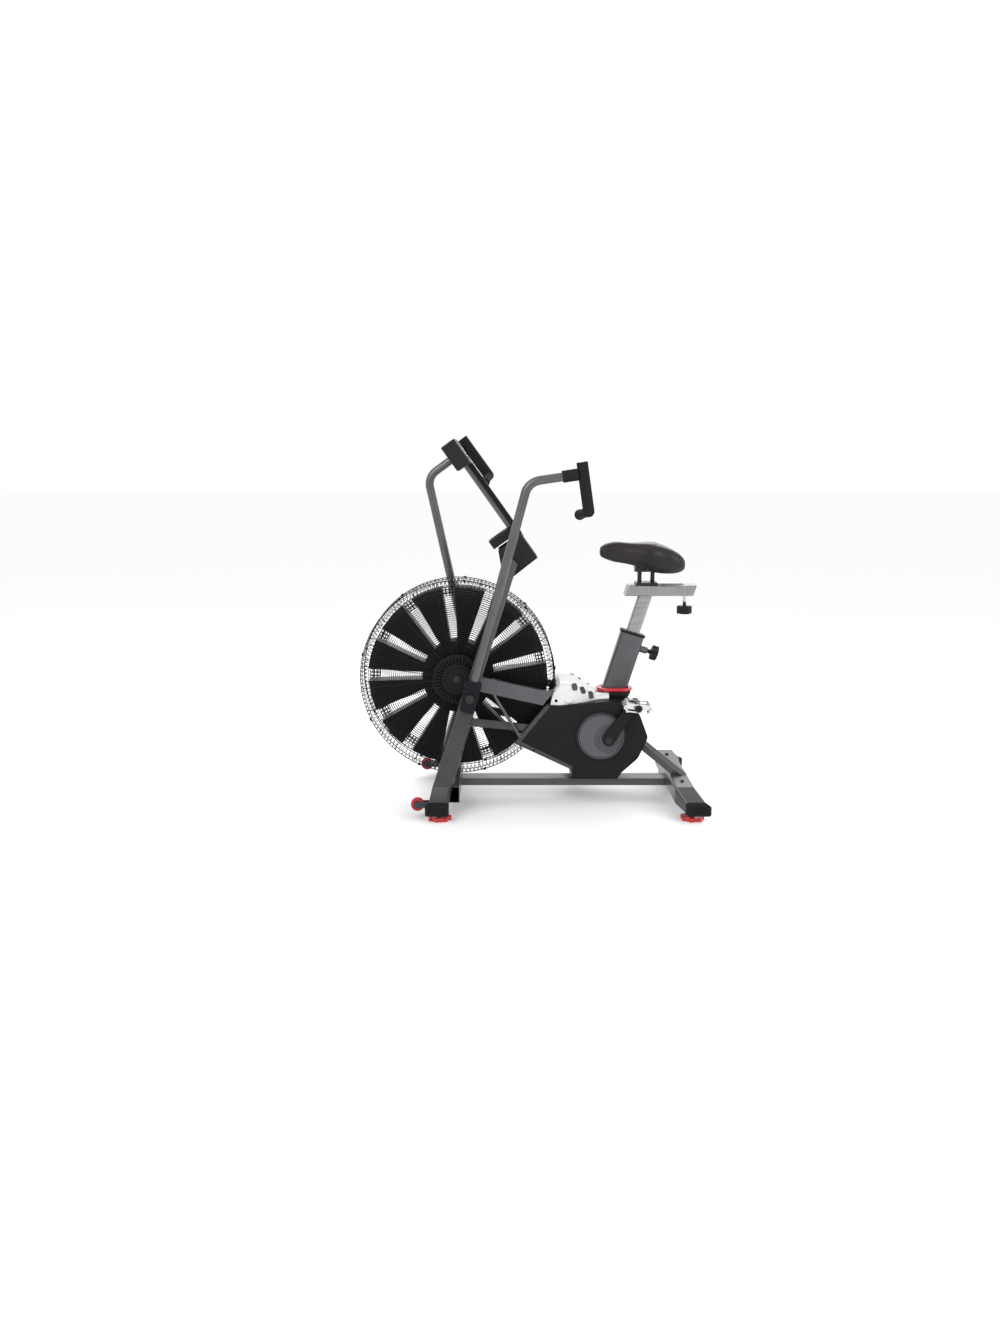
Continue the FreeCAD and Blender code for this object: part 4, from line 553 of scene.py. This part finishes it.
disc_finish = finish("disc_violet_grey", (0.050, 0.048, 0.060), (0.066, 0.064, 0.078), 0.38, grain=500,
                     bump=0.08, coat=0.2)
crank_black = finish("crank_black", (0.004, 0.004, 0.005), (0.009, 0.009, 0.010), 0.3, metallic=0.3,
                     grain=500, bump=0.08, painted_edge_highlight=0.35, coat=0.1, specular=0.15)
refine("crank_discs", disc_finish, 0.0018)
refine("crank_arms", crank_black, 0.003)
refine("crank_axle", steel, 0.001)
refine("drive_pulley", grey_moulding, 0.001)
refine("crank_bearings", steel, 0.0)
crank_low, crank_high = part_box("crank_axle")
crank = (Vector(crank_low) + Vector(crank_high)) / 2
disc_low, disc_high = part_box("crank_discs")
throw = 0.028
disc_radius = 0.090
for hand, side in ((-1, "left"), (1, "right")):
    throw_turn = math.radians(160 if hand < 0 else 340)
    disc_middle = crank + outward(throw_turn) * throw
    face_y = disc_low[1] if hand < 0 else disc_high[1]
    trim = bmesh.new()
    for ring_radius, tube in ((disc_radius - 0.003, 0.0022), (disc_radius - 0.010, 0.0010)):
        add_ring(trim, Vector((disc_middle.x, face_y, disc_middle.z)), ring_radius, tube, 112, 10)
    for ring_radius in (0.034, 0.042, 0.050):
        add_ring(trim, Vector((crank.x, face_y, crank.z)), ring_radius, 0.0009, 96, 8)
    new_piece(f"disc_{side}_rings", trim, hub_black, "crank", "crank_black", sharp=60)
    bolt = bmesh.new()
    end_y = crank_low[1] if hand < 0 else crank_high[1]
    bolt_foot = crank + Vector((0, end_y - crank.y, 0))
    add_rod(bolt, 0.0135, bolt_foot, bolt_foot + Vector((0, hand * 0.003, 0)), 40)
    add_rod(bolt, 0.0075, bolt_foot, bolt_foot + Vector((0, hand * 0.0065, 0)), 6)
    new_piece(f"crank_{side}_bolt", bolt, black_steel, "crank", "crank_black", bevel=0.0006)


# ---------------------------------------------------------------- pedals
# Each pedal is an open cage: two six-sided end frames joined by toothed plates, with a barrel
# on the spindle and a cross web between.

alloy = finish("pedal_alloy", (0.62, 0.62, 0.64), (0.78, 0.78, 0.80), 0.26, metallic=0.9, grain=500, bump=0.1,
               painted_edge_highlight=0.2)


def hexagon(length, height):
    """Corners of a six-sided outline with pointed ends, in side view."""
    half_l, half_h = length / 2, height / 2
    return [Vector((x, 0, z)) for x, z in ((-half_l, 0), (-half_l * 0.74, half_h), (half_l * 0.74, half_h),
                                           (half_l, 0), (half_l * 0.74, -half_h), (-half_l * 0.74, -half_h))]


plate_x, plate_z = 0.040, 0.0125
end_x = 0.051
web_y = 0.026
tooth_z = 0.0165
tooth_count, tooth_inset = 9, 0.010
for hand, side in ((-1, "left"), (1, "right")):
    name = f"{side}_pedal"
    low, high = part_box(name)
    middle = centre_of(name)
    half_width = (high[1] - low[1]) / 2
    lean = Matrix.Translation(middle) @ Matrix.Rotation(math.radians(6 if hand < 0 else 0), 4, "Y")
    cage = bmesh.new()
    for y in (-half_width + 0.002, half_width - 0.002):
        rings = []
        for length, height in ((0.108, 0.030), (0.098, 0.021)):
            ring = [cage.verts.new(lean @ (corner + Vector((0, y, 0)))) for corner in hexagon(length, height)]
            rings.append([cage.edges.new((ring[i], ring[(i + 1) % 6])) for i in range(6)])
        flat = bmesh.ops.bridge_loops(cage, edges=rings[0] + rings[1])["faces"]
        thicken(cage, flat, (0, 0.004 if y < 0 else -0.004, 0))
    parts = [((x, 0, z), (0.003, half_width, 0.0045))
             for z in (plate_z, -plate_z) for x in (plate_x, -plate_x)]
    parts += [((x, 0, 0), (0.002, half_width, 0.006)) for x in (end_x, -end_x)]
    parts += [((0, 0, 0), (0.046, 0.005, 0.0085))]
    parts += [((0, y, 0), (0.046, 0.0022, 0.0075)) for y in (web_y, -web_y)]
    tooth_pitch = 2 * (half_width - tooth_inset) / (tooth_count - 1)
    for tooth in range(tooth_count):
        y = -half_width + tooth_inset + tooth * tooth_pitch
        for x in (-plate_x, plate_x):
            for z in (-tooth_z, tooth_z):
                parts.append(((x, y, z), (0.0028, 0.0022, 0.0022)))
    for (x, y, z), (half_x, half_y, half_z) in parts:
        add_box(cage, lean @ Matrix.Translation(Vector((x, y, z))),
                2 * half_x, 2 * (half_y - 0.001), 2 * half_z)
    new_piece(f"{side}_pedal_cage", cage, alloy, body_of[name], "pedal_alloy", replaced=(name,), bevel=0.0007)
    barrel = bmesh.new()
    barrel_reach = Vector((0, half_width - 0.004, 0))
    add_rod(barrel, 0.0125, middle - barrel_reach, middle + barrel_reach, 36)
    for y in (-half_width + 0.004, half_width - 0.004):
        add_rod(barrel, 0.0138, middle + Vector((0, y - 0.003, 0)), middle + Vector((0, y + 0.003, 0)), 36)
    new_piece(f"{side}_pedal_barrel", barrel, black_steel, body_of[name], "crank_black", bevel=0.0008)


# ---------------------------------------------------------------- drive covers
# Two black shells close over the crank and the belt and meet in the middle. A mitred band runs
# along the front and lower edges, with a small screw in it.

cover_black = finish("cover_black", (0.008, 0.008, 0.009), (0.013, 0.013, 0.0145), 0.40, grain=1000,
                     bump=0.25, painted_edge_highlight=0.3, specular=0.1)
band_black = finish("cover_band", (0.030, 0.030, 0.032), (0.042, 0.042, 0.045), 0.36, grain=1000, bump=0.2,
                    painted_edge_highlight=0.4, specular=0.4)
for side in ("left", "right"):
    refine(f"{side}_side_cover", cover_black, 0.0022)
cover_face = -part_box("left_side_cover")[0][1]
band_outline = [(0.054, 0.3795), (-0.0605, 0.2395), (-0.0395, 0.2305), (0.1500, 0.1372), (0.1545, 0.1490),
                (-0.0240, 0.2370), (-0.0365, 0.2440), (0.0700, 0.3770)]
band_sunk, band_thick = 0.0006, 0.0016
for hand, side in ((-1, "left"), (1, "right")):
    band = bmesh.new()
    verts = [band.verts.new(Vector((x, hand * (cover_face - band_sunk), z))) for x, z in band_outline]
    thicken(band, [band.faces.new(verts)], (0, hand * band_thick, 0))
    new_piece(f"{side}_cover_band", band, band_black, "frame", "cover_plastic", bevel=0.0005)
    screw = bmesh.new()
    place = Vector((0.012, hand * (cover_face + 0.0010), 0.2120))
    add_rod(screw, 0.0052, place - Vector((0, hand * 0.003, 0)), place + Vector((0, hand * 0.0012, 0)), 28)
    new_piece(f"{side}_cover_screw", screw, black_steel, "frame", "cap_plastic", bevel=0.0006)


# ---------------------------------------------------------------- white fairing and red ring
# A glossy white moulding bridges the beams and the seat tube. It has three dark rounded vents on
# each shoulder. A soft red ring closes the seat tube above it, over a black collar.

white_gloss = finish("white_gloss", (0.60, 0.60, 0.61), (0.66, 0.66, 0.67), 0.16, grain=60, bump=0.02,
                     coat=0.6)
refine("white_fairing", white_gloss, 0.0025)
refine("bumper_ring", red_moulding, 0.003)
vent_dark = finish("vent_dark", (0.022, 0.024, 0.024), (0.036, 0.038, 0.038), 0.5, grain=400, bump=0.2)
fairing_shape = bmesh.new()
fairing_shape.from_mesh(nodes["white_fairing"].data)
fairing_surface = BVHTree.FromBMesh(fairing_shape)
fairing_shape.free()


def on_fairing(x, z, hand):
    """The fairing's surface met from one side at a height, with its outward direction."""
    point, normal = fairing_surface.ray_cast(Vector((x, hand * 0.4, z)), Vector((0, -hand, 0)))[:2]
    return (point, normal) if point else (Vector((x, hand * 0.10, z)), Vector((0, hand, 0)))


def laid_on(point, normal):
    """The transform that lays a flat shape on a surface."""
    return Matrix.Translation(point) @ normal.to_track_quat("Z", "X").to_matrix().to_4x4()


vent_places = ((0.160, 0.447), (0.191, 0.433), (0.222, 0.413))
vent_size = (0.028, 0.022, 0.0024)
vent_corner = 0.008
bulge_half_size = (0.013, 0.019, 0.0055)
for hand, side in ((-1, "left"), (1, "right")):
    vents = bmesh.new()
    for x, z in vent_places:
        point, normal = on_fairing(x, z, hand)
        verts = add_box(vents, laid_on(point, normal), *vent_size)
        corners = [edge for vert in verts for edge in vert.link_edges
                   if abs((edge.verts[0].co - edge.verts[1].co).dot(normal)) > 0.002]
        bmesh.ops.bevel(vents, geom=list(set(corners)), offset=vent_corner, offset_type="OFFSET", segments=6,
                        profile=0.5, affect="EDGES", material=-1)
    new_piece(f"{side}_fairing_vents", vents, vent_dark, "frame", "cap_plastic", bevel=0.0006)
    bulge = bmesh.new()
    point, normal = on_fairing(0.140, 0.397, hand)
    made = bmesh.ops.create_uvsphere(bulge, u_segments=40, v_segments=20, radius=1.0)
    bmesh.ops.transform(bulge, matrix=laid_on(point, normal) @ Matrix.Diagonal((*bulge_half_size, 1)),
                        verts=made["verts"])
    new_piece(f"{side}_fairing_bulge", bulge, white_gloss, "frame", "white_gloss", sharp=80)
    dot = bmesh.new()
    point, normal = on_fairing(0.092, 0.396, hand)
    add_rod(dot, 0.0058, point - normal * 0.002, point + normal * 0.0012, 28)
    new_piece(f"{side}_fairing_dot", dot, black_moulding, "frame", "cap_plastic", bevel=0.0006)


ring_low, ring_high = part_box("bumper_ring")
collar = bmesh.new()
seat_lean = math.radians(17.3)
lean_turn = Matrix.Rotation(seat_lean, 4, "Y")
tube_at_ring = Vector(((ring_low[0] + ring_high[0]) / 2, 0, ring_low[2]))
collar_corner = 0.018
for drop, half_x, half_y in ((0.001, 0.058, 0.044), (0.016, 0.056, 0.042), (0.034, 0.050, 0.037)):
    middle = tube_at_ring - (lean_turn @ Vector((0, 0, drop / math.cos(seat_lean))))
    ring = []
    for quarter, (sx, sy) in enumerate(((1, 1), (-1, 1), (-1, -1), (1, -1))):
        for step in range(9):
            turn = math.pi / 2 * (quarter + step / 8)
            ring.append(collar.verts.new(middle + Vector((
                sx * (half_x - collar_corner) + collar_corner * math.cos(turn),
                sy * (half_y - collar_corner) + collar_corner * math.sin(turn), 0))))
    loop = [collar.edges.new((ring[i], ring[(i + 1) % len(ring)])) for i in range(len(ring))]
    if drop > 0.001:
        bmesh.ops.bridge_loops(collar, edges=above + loop)
    above = loop
shroud = new_piece("ring_collar", collar, black_moulding, "frame", "cap_plastic")
wall = shroud.modifiers.new("wall", "SOLIDIFY")
wall.thickness = 0.003
wall.offset = 1


# ---------------------------------------------------------------- seat column
# The column slides in a black bush and carries a flat brushed-steel slider. Lobed black knobs with
# bright stems clamp the column and the slider.

brushed = finish("brushed_steel", (0.26, 0.26, 0.27), (0.40, 0.40, 0.41), 0.27, metallic=1.0, grain=240,
                 bump=0.12, stretch=(1, 1, 9))
slider_steel = finish("slider_steel", (0.24, 0.24, 0.25), (0.37, 0.37, 0.38), 0.25, metallic=1.0, grain=240,
                      bump=0.12, stretch=(9, 9, 1))
refine("seat_post", brushed, 0.0)
refine("saddle_slider", slider_steel, 0.001)
refine("saddle_carriage", black_steel, 0.0012)
refine("post_bush", black_moulding, 0.0014)
knob_black = finish("knob_black", (0.006, 0.006, 0.007), (0.011, 0.011, 0.012), 0.38, grain=500, bump=0.25,
                    painted_edge_highlight=0.2, specular=0.2)
refine("height_knob", knob_black, 0.0018)
refine("slider_knob", knob_black, 0.0018)
chrome = finish("chrome", (0.62, 0.62, 0.63), (0.74, 0.74, 0.75), 0.08, metallic=1.0, grain=300, bump=0.02)


def stem_sleeve(name, direction, share):
    """A bright sleeve over the first part of a knob's stem."""
    direction = Vector(direction).normalized()
    corners = [vert.co.copy() for vert in nodes[name].data.vertices]
    first = min(co.dot(direction) for co in corners)
    last = max(co.dot(direction) for co in corners)
    foot = [co for co in corners if co.dot(direction) < first + 0.0005]
    middle = sum(foot, Vector()) / len(foot)
    radius = max((co - middle).length for co in foot) + 0.0005
    sleeve = bmesh.new()
    reach = (last - first) * share
    add_rod(sleeve, radius, middle + direction * 0.001, middle + direction * reach, 32)
    add_rod(sleeve, radius + 0.0016, middle + direction * (reach - 0.003), middle + direction * reach, 32)
    new_piece(f"{name}_stem", sleeve, chrome, body_of[name], "chrome", bevel=0.0004)


stem_sleeve("slider_knob", (0, 0, -1), 0.42)
stem_sleeve("height_knob", (0.95476, 0, -0.29737), 0.40)
low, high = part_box("saddle_slider")
insert = bmesh.new()
insert_size = (0.150, 0.030, 0.003)
add_box(insert, Matrix.Translation(Vector(((low[0] + high[0]) / 2 + 0.012, 0, high[2]))), *insert_size)
new_piece("slider_insert", insert, black_moulding, "seat_column", "knob_black", bevel=0.0008)


# ---------------------------------------------------------------- saddle
# A padded saddle covered in black vinyl: a narrow nose that widens and rises to a rounded rear,
# stitched in dark red along its sides.

vinyl = finish("saddle_vinyl", (0.009, 0.0075, 0.007), (0.018, 0.015, 0.014), 0.36, grain=520, bump=0.55,
               edge=0.003, specular=0.3)
seam_red = finish("seam_red", (0.035, 0.005, 0.005), (0.065, 0.008, 0.008), 0.6, grain=900, bump=0.4)
swell_steps, most_swell = 20, 0.006
smoothing_passes = 6


def saddle_pad():
    """The saddle's cover, blown up slightly from its firm shape so that it crowns."""
    work = bmesh.new()
    work.from_mesh(nodes["saddle"].data)
    bmesh.ops.remove_doubles(work, verts=work.verts, dist=0.00002)
    middle = centre_of("saddle")
    bmesh.ops.scale(work, vec=(0.985, 0.97, 0.95), verts=work.verts, space=Matrix.Translation(-middle))
    mesh = bpy.data.meshes.new("saddle_pad")
    work.to_mesh(mesh)
    work.free()
    pad = bpy.data.objects.new("saddle_pad", mesh)
    bpy.context.scene.collection.objects.link(pad)
    remesh = pad.modifiers.new("remesh", "REMESH")
    remesh.mode = "VOXEL"
    remesh.voxel_size = 0.005
    depsgraph = bpy.context.evaluated_depsgraph_get()
    pad.data = bpy.data.meshes.new_from_object(pad.evaluated_get(depsgraph))
    pad.modifiers.clear()
    swell = pad.modifiers.new("swell", "CLOTH")
    cloth = swell.settings
    cloth.use_pressure = True
    cloth.uniform_pressure_force = 4
    cloth.effector_weights.gravity = 0
    cloth.quality = 6
    cloth.mass = 0.3
    cloth.tension_stiffness = 25
    cloth.compression_stiffness = 25
    cloth.bending_stiffness = 1.5
    start = [vert.co.copy() for vert in pad.data.vertices]
    scene = bpy.context.scene
    for step in range(1, swell_steps + 1):
        scene.frame_set(step)
    swollen = bpy.data.meshes.new_from_object(pad.evaluated_get(bpy.context.evaluated_depsgraph_get()))
    for vert, was in zip(swollen.vertices, start):
        moved = vert.co - was
        if moved.length > most_swell:
            vert.co = was + moved.normalized() * most_swell
    pad.modifiers.clear()
    pad.data = swollen
    scene.frame_set(1)
    work = bmesh.new()
    work.from_mesh(pad.data)
    for _ in range(smoothing_passes):
        bmesh.ops.smooth_vert(work, verts=work.verts, factor=0.5,
                              use_axis_x=True, use_axis_y=True, use_axis_z=True)
    work.to_mesh(pad.data)
    work.free()
    pad.data.polygons.foreach_set("use_smooth", [True] * len(pad.data.polygons))
    pad.data.materials.clear()
    pad.data.materials.append(vinyl)
    finer = pad.modifiers.new("finer", "SUBSURF")
    finer.levels = 1
    finer.render_levels = 1
    return pad


pad = saddle_pad()
settle(pad, "saddle_body", "saddle_leather", "saddle")


def seam(name, point, normal, keep):
    """A raised seam where a plane crosses the saddle's cover, as a thin round bead."""
    work = bmesh.new()
    work.from_mesh(pad.data)
    made = bmesh.ops.bisect_plane(work, geom=work.verts[:] + work.edges[:] + work.faces[:], plane_co=point,
                                  plane_no=normal)
    on_plane = [item for item in made["geom_cut"] if isinstance(item, bmesh.types.BMEdge)]
    bead = bmesh.new()
    for edge in on_plane:
        first, last = edge.verts[0].co, edge.verts[1].co
        if keep(first) and keep(last) and (last - first).length > 0.0002:
            add_rod(bead, 0.0008, first, last, 6)
    work.free()
    new_piece(name, bead, seam_red, "saddle_body", "saddle_leather", sharp=80)


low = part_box("saddle")[0]
seam_height = low[2] + 0.062
seam("saddle_side_seam", Vector((0, 0, seam_height)), Vector((-0.10, 0, 1)),
     lambda co: co.x > low[0] + 0.02)
for hand, side in ((-1, "left"), (1, "right")):
    seam(f"saddle_{side}_panel_seam", Vector((low[0] + 0.19, hand * 0.075, 0)), Vector((-0.42, hand, 0)),
         lambda co, hand=hand: co.y * hand > 0 and co.z > seam_height and co.x > low[0] + 0.10)


# ---------------------------------------------------------------- floor, light and camera
# A plain pale floor under soft studio light from above and both sides.

floor_mesh = bmesh.new()
bmesh.ops.create_grid(floor_mesh, x_segments=1, y_segments=1, size=40)
mesh = bpy.data.meshes.new("studio_floor")
floor_mesh.to_mesh(mesh)
floor_mesh.free()
floor_finish = bpy.data.materials.new("studio_floor")
floor_finish.use_nodes = True
floor_shader = floor_finish.node_tree.nodes["Principled BSDF"]
floor_shader.inputs["Base Color"].default_value = (0.97, 0.97, 0.97, 1)
floor_shader.inputs["Roughness"].default_value = 0.6
mesh.materials.append(floor_finish)
floor = bpy.data.objects.new("studio_floor", mesh)
bpy.context.scene.collection.objects.link(floor)
floor.location.z = -0.0005
floor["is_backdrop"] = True

world = bpy.data.worlds.new("studio")
world.use_nodes = True
world.node_tree.nodes["Background"].inputs["Color"].default_value = (1.0, 1.0, 1.0, 1)
world.node_tree.nodes["Background"].inputs["Strength"].default_value = 1.0
bpy.context.scene.world = world
for name, place, aim, energy, width in (
        ("key_light", (-2.2, -2.6, 3.2), (0, 0, 0.6), 60, 2.4),
        ("fill_light", (2.8, -2.2, 2.2), (0.2, 0, 0.6), 35, 2.0),
        ("back_light", (0.4, 3.0, 3.0), (0, 0, 0.6), 60, 3.0)):
    lamp = bpy.data.lights.new(name, "AREA")
    lamp.energy = energy
    lamp.size = width
    holder = bpy.data.objects.new(name, lamp)
    holder.location = place
    holder.rotation_euler = (Vector(aim) - Vector(place)).to_track_quat("-Z", "Y").to_euler()
    bpy.context.scene.collection.objects.link(holder)
bpy.context.scene.view_settings.view_transform = "Standard"

camera_data = bpy.data.cameras.new("camera")
camera_data.sensor_width = 36
camera_data.lens = 31.64
camera = bpy.data.objects.new("camera", camera_data)
camera.location = (-0.115, -4.3, 1.285)
camera.rotation_euler = (math.radians(90 - 9.974), 0, 0)
bpy.context.scene.collection.objects.link(camera)
bpy.context.scene.camera = camera

low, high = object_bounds()
